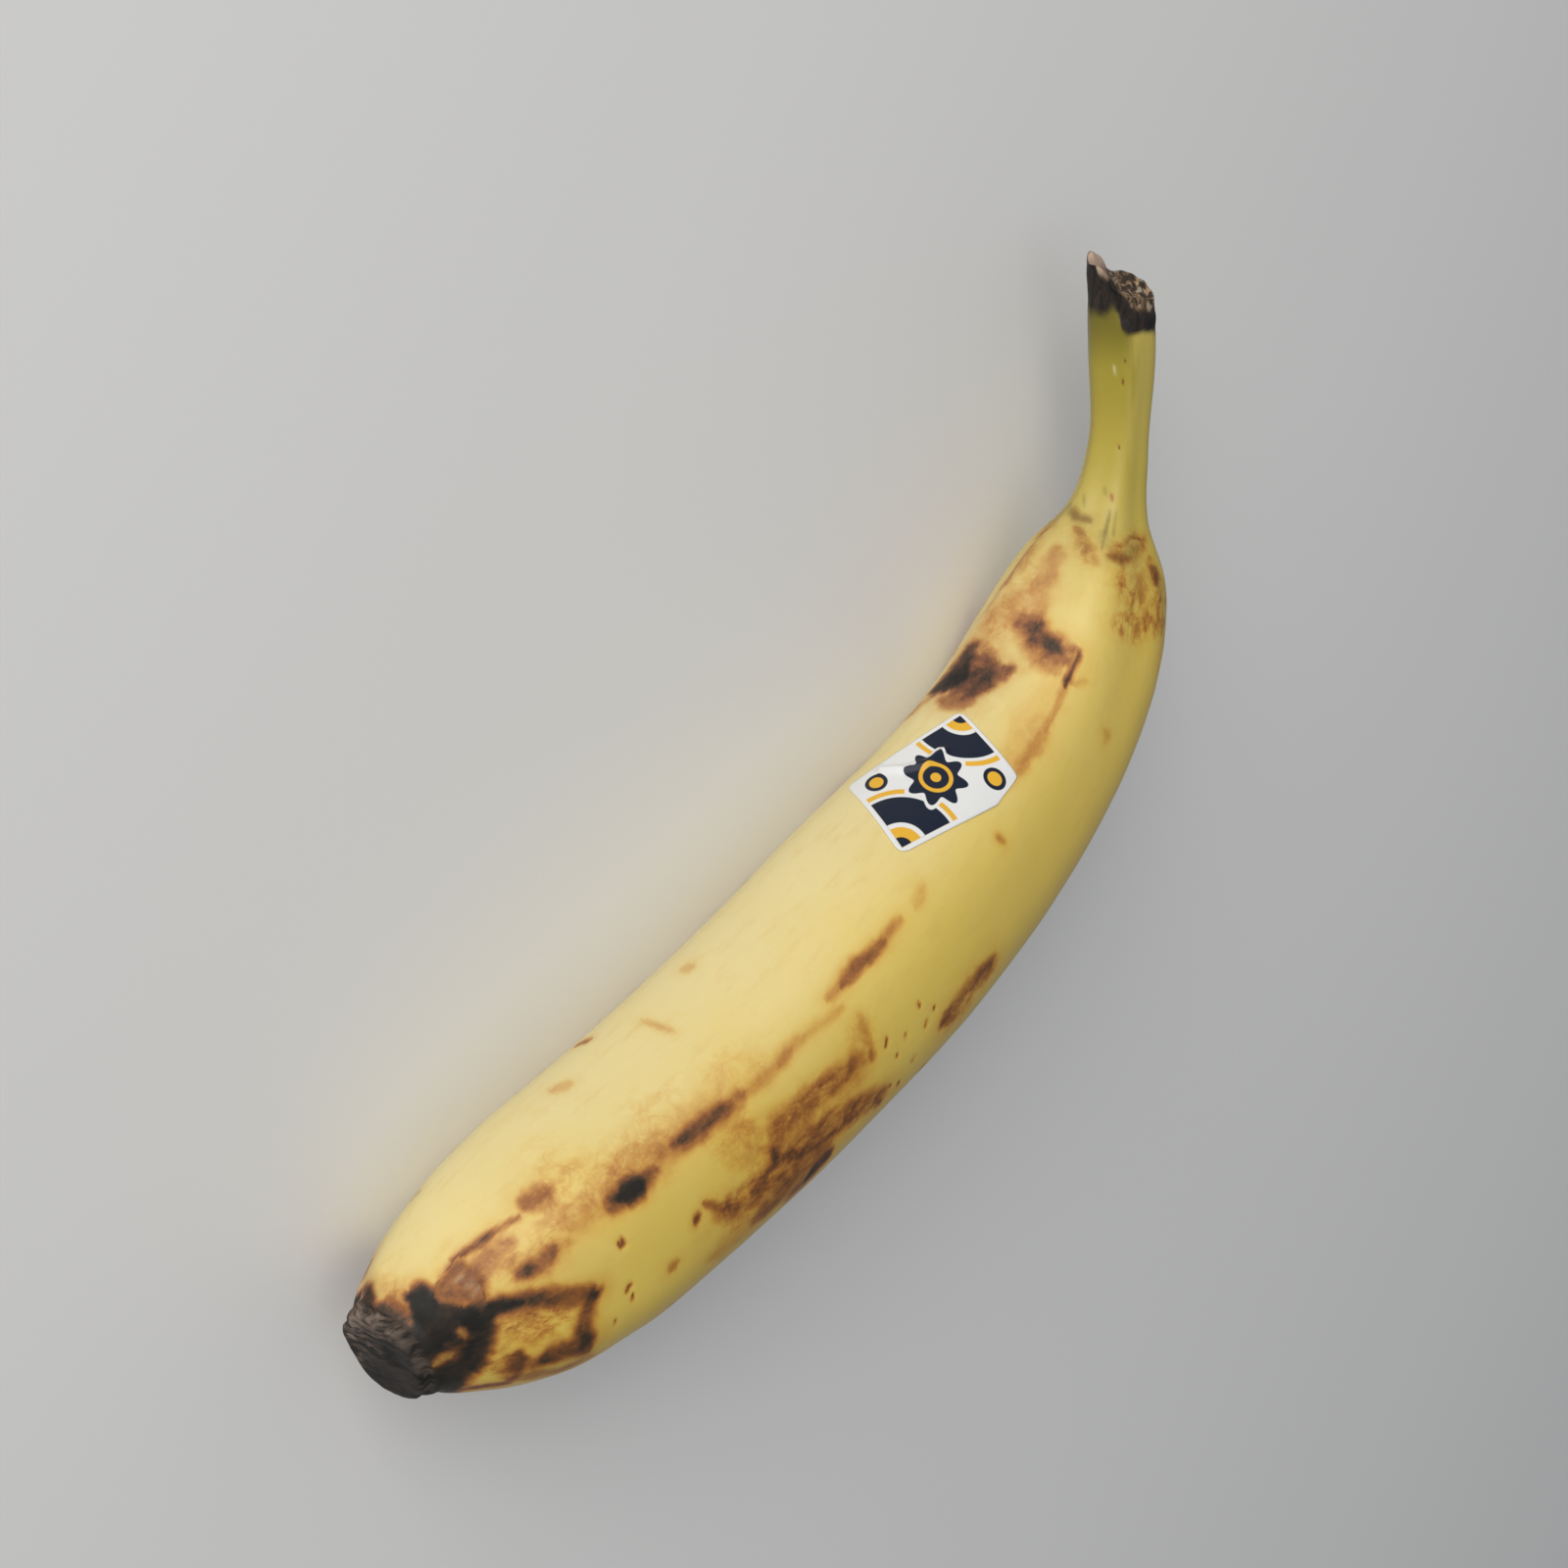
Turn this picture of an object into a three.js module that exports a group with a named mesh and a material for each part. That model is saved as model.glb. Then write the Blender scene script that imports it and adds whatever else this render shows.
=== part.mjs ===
// A ripe banana lying on its side on a table, with a small paper label on its peel.
// Millimetres and degrees, +Z up. The origin is on the table, under the middle of the fruit.
// The fruit grew as one piece, so peel, stalk and blossom end are one solid. The label is a second one.
import * as THREE from "three";

// How long the fruit is along its middle line, from the blossom end to the end of the stalk
const LENGTH = 209;

// Each table below holds pairs: how far along the middle line, then the value there.
// Which way the middle line heads, seen from above, in degrees
const HEADING = [
  [0, -14.7], [12, -11.2], [30, -10.5], [55, -6.4], [85, -1.9], [110, -1],
  [128, 9], [142, 22.5], [156, 35.3], [172, 46.1], [190, 65], [LENGTH, 75],
];
// How far the middle line dips below level on its way into the fruit: the blossom end looks up a little
const DIP = [[0, 9.9], [14, 4.8], [30, 0], [LENGTH, 0]];
// How high the middle line runs above the table
const HEIGHT = [
  [0, 14.6], [12, 16], [26, 16.6], [45, 17.2], [70, 17.8], [95, 18.1],
  [110, 17.6], [125, 16.9], [145, 16.5], [165, 16.8], [190, 17.5], [LENGTH, 18.2],
];
// The mean radius of the fruit
const GIRTH = [
  [0, 7.2], [3, 9.2], [8, 12.3], [15, 15.2], [26, 17.1], [42, 17.8], [68, 18.55], [95, 18.85], [115, 18],
  [130, 17], [143, 15.8], [151, 14.7], [158, 13.2], [165, 10.9], [173, 6.3], [183, 4.65], [198, 5],
  [LENGTH, 4.8],
];
// How far the five ridges stand out from the mean radius, as a share of it
const RIDGE_HEIGHT = [
  [0, 0.03], [15, 0.03], [45, 0.02], [110, 0.02], [140, 0.03], [165, 0.06], [185, 0.05], [LENGTH, 0.03],
];
// Where the ridges run round the fruit, in degrees from its top towards the inside of the bend
const RIDGES = [40, 110, 160, 230, 330];

// The blossom end is a blunt button: pairs of a share of its radius, and how far it stands out there
const BUTTON = [[0.99, 0.6], [0.9, 1.2], [0.7, 1.25], [0.46, 1.15], [0.22, 1.4]];
const BUTTON_MIDDLE = 1.5;

// The stalk was torn from its bunch on a slant, and a horn was left standing on one side.
// Pairs of an angle round the stalk, and how far the tear reaches past the middle line's end there
const TORN_REACH = [
  [0, -1.9], [30, -1.1], [55, 0.2], [72, 2.7], [95, 4], [141, 4],
  [172, 4.8], [192, 3.6], [212, 1.3], [240, 0.3], [285, -1], [322, -2.8], [360, -1.9],
];
const TORN_FROM = 201;        // the tear's slant grows in from here to the end
const TORN_RINGS = [0.88, 0.7, 0.5, 0.25];
const TORN_FLAT = 0.15;       // the torn face is level inside this share of its radius
const TORN_TAPER = 0.02;      // how much the stalk thins for each millimetre that the tear reaches further
const TORN_HOLLOW = 0.8;      // how far its middle sinks

// The label: where it sits, its size, its tilt to the fruit's length, and how it lies on the peel
const LABEL = {
  along: 111.5, round: 73, length: 25.2, width: 16.8, corner: 1.5, tilt: -17.5, gap: 0.3, thickness: 0.35,
};

// How finely the solids are divided
const SIDES = 36;
const STEP_OF_MIDDLE_LINE = 0.5;
const STATIONS = [
  { from: 0, to: 15, count: 8 },
  { from: 15, to: 140, count: 30 },
  { from: 140, to: 178, count: 16 },
  { from: 178, to: 201, count: 7 },
  { from: 201, to: LENGTH, count: 6 },
];
const LABEL_SIDES = 60;
const LABEL_RINGS = 5;

const radians = THREE.MathUtils.degToRad;

// The smooth curve through a table's pairs, read at one place: each pair of neighbours is joined by a
// cubic, and its slope at a pair is the mean of the slopes on both sides, the nearer one counting more
function smooth(table, at) {
  const last = table.length - 2;
  const x = THREE.MathUtils.clamp(at, table[0][0], table[last + 1][0]);
  let i = 0;
  while (i < last && x >= table[i + 1][0]) i += 1;
  const gap = (k) => table[k + 1][0] - table[k][0];
  const rise = (k) => (table[k + 1][1] - table[k][1]) / gap(k);
  const slope = (k) => {
    if (k === 0) return rise(0);
    if (k > last) return rise(last);
    return (rise(k - 1) * gap(k) + rise(k) * gap(k - 1)) / (gap(k - 1) + gap(k));
  };
  const t = (x - table[i][0]) / gap(i);
  const keep = 1 - t;
  return table[i][1] * (1 + 2 * t) * keep * keep + slope(i) * gap(i) * t * keep * keep
    + table[i + 1][1] * t * t * (3 - 2 * t) - slope(i + 1) * gap(i) * t * t * keep;
}

// The middle line, walked once from the blossom end
const middleLine = [new THREE.Vector2(0, 0)];
for (let s = STEP_OF_MIDDLE_LINE; s <= LENGTH; s += STEP_OF_MIDDLE_LINE) {
  const before = radians(smooth(HEADING, s - STEP_OF_MIDDLE_LINE));
  const here = radians(smooth(HEADING, s));
  const stepX = (Math.cos(before) + Math.cos(here)) / 2 * STEP_OF_MIDDLE_LINE;
  const stepY = (Math.sin(before) + Math.sin(here)) / 2 * STEP_OF_MIDDLE_LINE;
  middleLine.push(middleLine.at(-1).clone().add(new THREE.Vector2(stepX, stepY)));
}

// The slice across the fruit at one place: its middle, and the directions along it, to its side and up
function slice(s) {
  const i = Math.min(Math.floor(s / STEP_OF_MIDDLE_LINE), middleLine.length - 2);
  const flat = middleLine[i].clone().lerp(middleLine[i + 1], s / STEP_OF_MIDDLE_LINE - i);
  const heading = radians(smooth(HEADING, s));
  const dip = radians(smooth(DIP, s));
  const along = new THREE.Vector3(
    Math.cos(heading) * Math.cos(dip),
    Math.sin(heading) * Math.cos(dip),
    -Math.sin(dip),
  );
  const side = new THREE.Vector3(-Math.sin(heading), Math.cos(heading), 0);
  const up = new THREE.Vector3().crossVectors(along, side);
  return { middle: new THREE.Vector3(flat.x, flat.y, smooth(HEIGHT, s)), along, side, up };
}

// 1 on a ridge, -1 halfway between two ridges
function ridgeWave(angle) {
  const turned = THREE.MathUtils.euclideanModulo(angle - RIDGES[0], 360) + RIDGES[0];
  const ends = [...RIDGES, RIDGES[0] + 360];
  const i = ends.findIndex((end, k) => k > 0 && turned < end) - 1;
  return Math.cos(2 * Math.PI * (turned - ends[i]) / (ends[i + 1] - ends[i]));
}

// How far the torn stalk reaches past the end of the middle line, at an angle and a share of its radius
function tornReach(angle, share = 1) {
  const reach = smooth(TORN_REACH, THREE.MathUtils.euclideanModulo(angle, 360));
  return reach * THREE.MathUtils.smoothstep(share, TORN_FLAT, 1) - TORN_HOLLOW * (1 - share * share);
}

// A point of the slice, at a share of the radius and pushed along the fruit
function placed(s, angle, share, push, lift = 0) {
  const { middle, along, side, up } = slice(s);
  const thinned = 1 - TORN_TAPER * Math.max(push, 0);
  const radius = smooth(GIRTH, s) * (1 + smooth(RIDGE_HEIGHT, s) * ridgeWave(angle)) * thinned * share + lift;
  const point = middle.addScaledVector(along, push)
    .addScaledVector(up, radius * Math.cos(radians(angle)))
    .addScaledVector(side, radius * Math.sin(radians(angle)));
  // The peel flattens where it rests on the table
  point.z = Math.max(point.z, 0);
  return point;
}

// A point of the peel, or lifted off it
function skinPoint(s, angle, lift = 0) {
  const torn = THREE.MathUtils.smoothstep(s, TORN_FROM, LENGTH);
  return placed(s, angle, 1, torn * tornReach(angle), lift);
}

// A closed solid from rings of points, from a first point to a last one
function solidFromRings(first, rings, last) {
  const count = rings[0].length;
  const points = [first, ...rings.flat(), last];
  const faces = [];
  const at = (ring, k) => 1 + ring * count + k % count;
  for (let k = 0; k < count; k += 1) {
    faces.push(0, at(0, k + 1), at(0, k));
    for (let ring = 0; ring < rings.length - 1; ring += 1) {
      faces.push(at(ring, k), at(ring, k + 1), at(ring + 1, k + 1));
      faces.push(at(ring, k), at(ring + 1, k + 1), at(ring + 1, k));
    }
    faces.push(at(rings.length - 1, k), at(rings.length - 1, k + 1), points.length - 1);
  }
  const geometry = new THREE.BufferGeometry();
  const numbers = points.flatMap((point) => point.toArray());
  geometry.setAttribute("position", new THREE.Float32BufferAttribute(numbers, 3));
  geometry.setIndex(faces);
  geometry.computeVertexNormals();
  return geometry;
}

// The fruit: rings for the button, the body and stalk, and the torn face
function fruitSolid() {
  const angles = Array.from({ length: SIDES }, (_, k) => -k * 360 / SIDES);
  const rings = BUTTON.map(([share, out]) => angles.map((angle) => placed(0, angle, share, -out))).reverse();
  rings.push(angles.map((angle) => skinPoint(0, angle)));
  for (const { from, to, count } of STATIONS) {
    for (let k = 1; k <= count; k += 1) {
      const s = from + (to - from) * k / count;
      rings.push(angles.map((angle) => skinPoint(s, angle)));
    }
  }
  for (const share of TORN_RINGS) {
    rings.push(angles.map((angle) => placed(LENGTH, angle, share, tornReach(angle, share))));
  }
  return solidFromRings(placed(0, 0, 0, -BUTTON_MIDDLE), rings, placed(LENGTH, 0, 0, tornReach(0, 0)));
}

// The outline of the label laid flat: a rectangle with round corners, in millimetres from its middle
function labelOutline() {
  const { length, width, corner } = LABEL;
  const x = length / 2 - corner;
  const y = width / 2 - corner;
  const outline = new THREE.Shape();
  outline.absarc(x, -y, corner, -Math.PI / 2, 0);
  outline.absarc(x, y, corner, 0, Math.PI / 2);
  outline.absarc(-x, y, corner, Math.PI / 2, Math.PI);
  outline.absarc(-x, -y, corner, Math.PI, Math.PI * 3 / 2);
  outline.closePath();
  return outline.getSpacedPoints(LABEL_SIDES).slice(0, -1);
}

// A point of the flat label, wrapped on the peel at a height above it
function wrapped(point, lift) {
  const turned = point.clone().rotateAround(new THREE.Vector2(), radians(LABEL.tilt));
  const s = LABEL.along + turned.x;
  const angle = LABEL.round + THREE.MathUtils.radToDeg(turned.y / smooth(GIRTH, LABEL.along));
  return skinPoint(s, angle, lift);
}

// The label: rings that grow from its middle on the underside, then shrink again on the top side
function labelSolid() {
  const outline = labelOutline();
  const inside = LABEL.gap;
  const outside = LABEL.gap + LABEL.thickness;
  const shares = Array.from({ length: LABEL_RINGS }, (_, k) => (k + 1) / LABEL_RINGS);
  const ring = (share, lift) => outline.map((point) => wrapped(point.clone().multiplyScalar(share), lift));
  const rings = [
    ...shares.map((share) => ring(share, inside)),
    ...shares.toReversed().map((share) => ring(share, outside)),
  ];
  const middle = new THREE.Vector2();
  return solidFromRings(wrapped(middle, inside), rings, wrapped(middle, outside));
}

const fruit = new THREE.Mesh(
  fruitSolid(),
  new THREE.MeshStandardMaterial({ color: 0xe3cd7c, roughness: 0.45, metalness: 0 }),
);
fruit.name = "banana";
const label = new THREE.Mesh(
  labelSolid(),
  new THREE.MeshStandardMaterial({ color: 0xe8e8e6, roughness: 0.4, metalness: 0 }),
);
label.name = "label";

const banana = new THREE.Group();
banana.add(fruit, label);
fruit.geometry.computeBoundingBox();
const footprint = fruit.geometry.boundingBox.getCenter(new THREE.Vector3());
for (const piece of banana.children) piece.position.set(-footprint.x, -footprint.y, 0);

export default banana;
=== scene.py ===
# %% [markdown]
# # A ripe banana with a fruit label
# A solid model of the banana comes in as a fixed frame: it gives the place and the size of everything.
# The lesson then grows a fine peel around it, bruises it, and sticks a paper label on it. Lengths are
# worked out in millimetres, as a grower would measure them, and become metres only where a mesh is made.

# %% Load the solid model and keep its box
import itertools
import math
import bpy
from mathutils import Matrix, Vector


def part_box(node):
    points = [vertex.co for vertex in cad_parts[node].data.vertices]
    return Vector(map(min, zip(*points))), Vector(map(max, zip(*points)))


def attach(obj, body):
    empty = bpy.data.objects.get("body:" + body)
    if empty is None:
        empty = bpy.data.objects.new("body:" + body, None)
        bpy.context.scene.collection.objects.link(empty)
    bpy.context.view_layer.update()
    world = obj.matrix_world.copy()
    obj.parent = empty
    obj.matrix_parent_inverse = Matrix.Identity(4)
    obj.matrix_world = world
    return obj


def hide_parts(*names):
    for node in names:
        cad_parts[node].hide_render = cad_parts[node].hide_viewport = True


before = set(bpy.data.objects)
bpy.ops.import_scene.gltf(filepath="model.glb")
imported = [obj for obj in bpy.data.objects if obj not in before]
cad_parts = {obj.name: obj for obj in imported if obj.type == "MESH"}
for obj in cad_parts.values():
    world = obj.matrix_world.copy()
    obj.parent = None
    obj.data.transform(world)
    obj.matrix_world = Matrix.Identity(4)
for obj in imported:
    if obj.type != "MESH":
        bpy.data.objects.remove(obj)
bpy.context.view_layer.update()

from types import SimpleNamespace

import bpy
import numpy as np
from mathutils import Matrix, Vector

MM = 0.001
print("pieces of the solid model:", sorted(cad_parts))

# %% [markdown]
# ## The shape of the fruit
# A banana is a bent, tapering tube with five soft ridges. It could be sculpted by hand, but a fruit is
# easier to correct when it is a formula: a middle line, and tables that say how thick it is and which
# way it heads at each place. A place on the peel is then two numbers: how far along the middle line it
# lies, and how far round, in degrees from the top towards the inside of the bend.

# %% Tables of the middle line
# Each pair is millimetres from the blossom end, then the value there
LENGTH = 209
# Degrees that the line has turned towards the inside of the bend
HEADING = [
    (0, -14.7), (12, -11.2), (30, -10.5), (55, -6.4), (85, -1.9), (110, -1),
    (128, 9), (142, 22.5), (156, 35.3), (172, 46.1), (190, 65), (LENGTH, 75),
]
# Degrees that it dips towards the floor
DIP = [(0, 9.9), (14, 4.8), (30, 0), (LENGTH, 0)]
# Millimetres that it runs above the floor
HEIGHT = [
    (0, 14.6), (12, 16), (26, 16.6), (45, 17.2), (70, 17.8), (95, 18.1),
    (110, 17.6), (125, 16.9), (145, 16.5), (165, 16.8), (190, 17.5), (LENGTH, 18.2),
]

# %% Tables of the thickness
# Millimetres from the middle line to the peel
RADIUS = [
    (0, 7.2), (3, 9.2), (8, 12.3), (15, 15.2), (26, 17.1), (42, 17.8), (68, 18.55), (95, 18.85), (115, 18),
    (130, 17), (143, 15.8), (151, 14.7), (158, 13.2), (165, 10.9), (173, 6.3), (183, 4.65), (198, 5),
    (LENGTH, 4.8),
]
# How far the ridges stand out, as a share of the radius, and the degrees round at which they run
RIDGE_HEIGHT = [
    (0, 0.03), (15, 0.03), (45, 0.02), (110, 0.02), (140, 0.03), (165, 0.06), (185, 0.05), (LENGTH, 0.03),
]
RIDGES = [40, 110, 160, 230, 330]

# %% Tables of the two ends
# Millimetres that the blossom end bulges out, by the share of its radius
BUTTON = [(0, 1.5), (0.22, 1.4), (0.46, 1.15), (0.7, 1.25), (0.9, 1.2), (0.97, 0.7), (1, 0)]
# Millimetres that the stalk's torn edge reaches past the middle line's end, by degrees round
TORN_REACH = [
    (0, -1.9), (30, -1.1), (55, 0.2), (72, 2.7), (95, 4), (141, 4),
    (172, 4.8), (192, 3.6), (212, 1.3), (240, 0.3), (285, -1), (322, -2.8), (360, -1.9),
]
# Where the stalk starts to slant, how much of its face stays level, how it thins and how hollow it is
TORN_FROM = 201
TORN_FLAT = 0.15
TORN_TAPER = 0.02
TORN_HOLLOW = 0.8


# %% Reading a table smoothly
def smooth(table, at):
    """The smooth curve through a table's pairs, read at every place in at."""
    x, y = np.array(table, float).T
    gap = np.diff(x)
    rise = np.diff(y) / gap
    inner = (rise[:-1] * gap[1:] + rise[1:] * gap[:-1]) / (gap[1:] + gap[:-1])
    slope = np.concatenate([rise[:1], inner, rise[-1:]])
    at = np.clip(at, x[0], x[-1])
    i = np.clip(np.searchsorted(x, at, side="right") - 1, 0, len(x) - 2)
    t = (at - x[i]) / gap[i]
    start = y[i] * (1 + 2 * t) * (1 - t) ** 2 + slope[i] * gap[i] * t * (1 - t) ** 2
    return start + y[i + 1] * t * t * (3 - 2 * t) + slope[i + 1] * gap[i] * t * t * (t - 1)


def ease(low, high, value):
    """0 below low, 1 above high, and a soft step between them."""
    t = np.clip((value - low) / (high - low), 0, 1)
    return t * t * (3 - 2 * t)


print("girth at the middle of the fruit:", round(2 * math.pi * float(smooth(RADIUS, LENGTH / 2))), "mm")

# %% [markdown]
# ## From a place on the peel to a point in space
# On the plant the fruit grows along a curved stem line and thickens around it, and the formula does the
# same: it walks the middle line, finds which way it heads, and steps out by the radius. A curve with a
# bevel would draw such a tube too, but a bruise or a label couldn't ask it where a place lies.

# %% The middle line and the ridges
WALK_STEP = 0.5


def middle_line(along):
    """Points of the middle line, from where it starts in the blossom end."""
    walk = np.arange(0, LENGTH + WALK_STEP / 2, WALK_STEP)
    heading = np.radians(smooth(HEADING, walk))
    steps = np.stack([np.cos(heading), np.sin(heading)])
    path = np.cumsum((steps[:, 1:] + steps[:, :-1]) / 2 * WALK_STEP, axis=1)
    x, y = np.concatenate([np.zeros((2, 1)), path], axis=1)
    return np.stack([np.interp(along, walk, x), np.interp(along, walk, y), smooth(HEIGHT, along)], -1)


def ridge_wave(angle):
    """1 on a ridge, -1 halfway between two ridges."""
    ends = np.array([RIDGES[-1] - 360, *RIDGES, RIDGES[0] + 360])
    angle = np.mod(angle, 360)
    i = np.searchsorted(ends, angle, side="right") - 1
    return np.cos(2 * math.pi * (angle - ends[i]) / (ends[i + 1] - ends[i]))


print("the middle line ends", middle_line(LENGTH).round(1), "mm from the blossom end")


# %% A point of the peel
def peel_point(along, angle, share=1.0, push=0.0):
    """The point at a share of the radius, pushed along the fruit, in millimetres."""
    along, angle, share, push = np.broadcast_arrays(along, angle, share, push)
    heading = np.radians(smooth(HEADING, along))
    dip = np.radians(smooth(DIP, along))
    turn = np.radians(angle)
    forward = np.stack([np.cos(heading) * np.cos(dip), np.sin(heading) * np.cos(dip), -np.sin(dip)], -1)
    side = np.stack([-np.sin(heading), np.cos(heading), 0 * heading], -1)
    up = np.cross(forward, side)
    ridged = 1 + smooth(RIDGE_HEIGHT, along) * ridge_wave(angle)
    radius = smooth(RADIUS, along) * ridged * (1 - TORN_TAPER * np.maximum(push, 0)) * share
    point = middle_line(along) + forward * push[..., None]
    return point + radius[..., None] * (up * np.cos(turn)[..., None] + side * np.sin(turn)[..., None])


def torn_reach(angle, share=1.0):
    """How far the torn stalk reaches past the end of the middle line."""
    reach = smooth(TORN_REACH, np.mod(angle, 360))
    return reach * ease(TORN_FLAT, 1, share) - TORN_HOLLOW * (1 - share * share)


def skin(along, angle):
    """A point of the peel itself, with the stalk's slanting tear."""
    return peel_point(along, angle, 1.0, ease(TORN_FROM, LENGTH, along) * torn_reach(angle))


print("the top of the fruit halfway along:", skin(LENGTH / 2, 0).round(1), "mm")

# %% [markdown]
# ## The grid of the peel
# The peel is one grid of rings: small rings that close the blossom end, rings along the body and the
# stalk, and rings that shrink again into the torn face. Rings stand closer where the ends turn. The
# seam of the grid runs along the underside, where it is hidden.

# %% Rings and columns of the grid
COLUMNS = 192
SEAM = 195
CAP_RINGS = 18
TORN_RINGS = 24
# Where the rings of the body start and end, and how far apart they are, in millimetres
RING_STEPS = [(0, 45, 0.36), (45, 150, 0.52), (150, LENGTH, 0.46)]
BODY_ALONG = np.concatenate([*(np.arange(*span) for span in RING_STEPS), [LENGTH]])
CAP_SHARES = np.linspace(0, 1, CAP_RINGS + 1)[1:-1]
TORN_SHARES = np.linspace(1, 0, TORN_RINGS + 1)[1:-1]

angles = SEAM + np.arange(COLUMNS) * 360 / COLUMNS
ring_along = np.concatenate([0 * CAP_SHARES, BODY_ALONG, LENGTH + 0 * TORN_SHARES])
ring_share = np.concatenate([CAP_SHARES, 1 + 0 * BODY_ALONG, TORN_SHARES])
rings = len(ring_along)
on_cap = np.arange(rings) < len(CAP_SHARES)
on_tear = np.arange(rings) >= len(CAP_SHARES) + len(BODY_ALONG)
print("rings", rings, "columns", COLUMNS)

# %% The smooth fruit, before any relief
grid_along, grid_angle = np.meshgrid(ring_along, angles, indexing="ij")
grid_share = np.repeat(ring_share[:, None], COLUMNS, axis=1)
cap_push = -smooth(BUTTON, grid_share)
tear_push = torn_reach(grid_angle, grid_share)
body_push = ease(TORN_FROM, LENGTH, grid_along) * torn_reach(grid_angle)
grid_push = np.where(on_cap[:, None], cap_push, np.where(on_tear[:, None], tear_push, body_push))
smooth_peel = peel_point(grid_along, grid_angle, grid_share, grid_push)
print("smooth fruit:", (smooth_peel.max((0, 1)) - smooth_peel.min((0, 1))).round(1), "mm")

# %% [markdown]
# ## The camera
# The camera looks down on the fruit from the inside of its bend and is rolled, so that the stalk points
# up in the picture. It is made early, because the bruises are placed by where they show in its picture.

# %% The fruit's place in the frame
low = smooth_peel.reshape(-1, 3).min(0)
high = smooth_peel.reshape(-1, 3).max(0)
solid_low, solid_high = (np.array(corner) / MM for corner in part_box("banana"))
TO_FRAME = (solid_low + solid_high - low - high) / 2 * (1, 1, 0)
print("fruit moved into the frame by", TO_FRAME.round(2), "mm")

# %% The camera's place and direction
PICTURE = 1600
VIEW_ANGLE = math.radians(42)
SENSOR = 36
CAMERA_AT = Vector((-120.2, 186.6, 208.8))
PICTURE_RIGHT = Vector((0.6257, -0.3443, 0.7)).normalized()
TOWARDS_CAMERA = Vector((-0.4156, 0.6123, 0.6726)).normalized()
PICTURE_UP = TOWARDS_CAMERA.cross(PICTURE_RIGHT).normalized()

camera = bpy.data.objects.new("camera", bpy.data.cameras.new("camera"))
bpy.context.collection.objects.link(camera)
camera.data.sensor_width = SENSOR
camera.data.lens = SENSOR / 2 / math.tan(VIEW_ANGLE / 2)
turned = Matrix((PICTURE_RIGHT, PICTURE_UP, TOWARDS_CAMERA)).transposed()
camera.matrix_world = Matrix.Translation(CAMERA_AT * MM) @ turned.to_4x4()
bpy.context.scene.camera = camera
print("lens", round(camera.data.lens, 1), "mm")

# %% [markdown]
# ## What the camera sees
# The marks on the near side are drawn as on tracing paper over the camera's picture, because an eye
# that compares two pictures works in the picture. Each point of a line is then found again on the
# peel. Marks on the other sides have no picture, so they are placed by millimetres and degrees.


# %% Where a point shows in the picture
def in_picture(points):
    """Where points of the frame, in millimetres, show in the picture, in pixels from its top left."""
    axes = np.array([PICTURE_RIGHT, PICTURE_UP, TOWARDS_CAMERA])
    across, upward, depth = ((points - np.array(CAMERA_AT)) @ axes.T).T
    reach = PICTURE / 2 / math.tan(VIEW_ANGLE / 2)
    return np.stack([PICTURE / 2 - reach * across / depth, PICTURE / 2 + reach * upward / depth], -1)


def normals_of(points):
    """Outward normals of the grid, from its neighbours along and around."""
    around = np.roll(points, -1, axis=1) - np.roll(points, 1, axis=1)
    forward = np.gradient(points, axis=0)
    normal = np.cross(forward, around)
    return normal / np.maximum(np.linalg.norm(normal, axis=-1, keepdims=True), 1e-9)


# %% Which part of the grid the camera sees
# A corner counts as seen where its normal leans towards the camera by more than this
FACING = 0.02
PIXEL_BLUR = 2.5
base = smooth_peel + TO_FRAME
base_normals = normals_of(base)
sight = np.array(CAMERA_AT) - base
seen = (base_normals * sight).sum(-1) > FACING * np.linalg.norm(sight, axis=-1)
base_pixels = in_picture(base.reshape(-1, 3)).reshape(*base.shape[:2], 2)
print("share of the peel that the camera sees:", round(float(seen.mean()), 2))


def peel_under(pixels):
    """The points of the peel that show at these pixels, each averaged over its nearest corners."""
    points, places = base[seen], base_pixels[seen]
    found = []
    for pixel in np.array(pixels, float):
        apart = ((places - pixel) ** 2).sum(-1)
        weight = np.exp((apart.min() - apart) / PIXEL_BLUR ** 2)
        found.append((points * weight[:, None]).sum(0) / weight.sum())
    return np.array(found)


# %% [markdown]
# ## Bruises
# Ripe peel goes brown where it was pressed or rubbed: along the ridges, at both ends, and in feathery
# patches on the faces. A picture could be wrapped round the fruit, but then the marks couldn't be moved
# or reused. Here each mark is a stroke: a line of points, a core, a fade and a darkness. Strokes are
# measured at every corner of the grid and become smooth fields that the peel's material reads.

# %% Names for how dark a bruise is, from 0 to 1
TAN, BROWN, RUSSET, PLUM, CHARCOAL, BLACK = 0.24, 0.4, 0.54, 0.72, 0.88, 1.0
print("a bruise is tan at", TAN, "and black at", BLACK)

# %% [markdown]
# ## The near side's bruises
# On the fruit a bruise has a dark heart and a soft, uneven spread. One stroke can't give both, so each
# bruise is drawn in layers: wide light strokes for the spread, shorter dark ones over them for the
# heart. A stroke holds its darkness, its core and its fade in millimetres, then its line in pixels.

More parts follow.
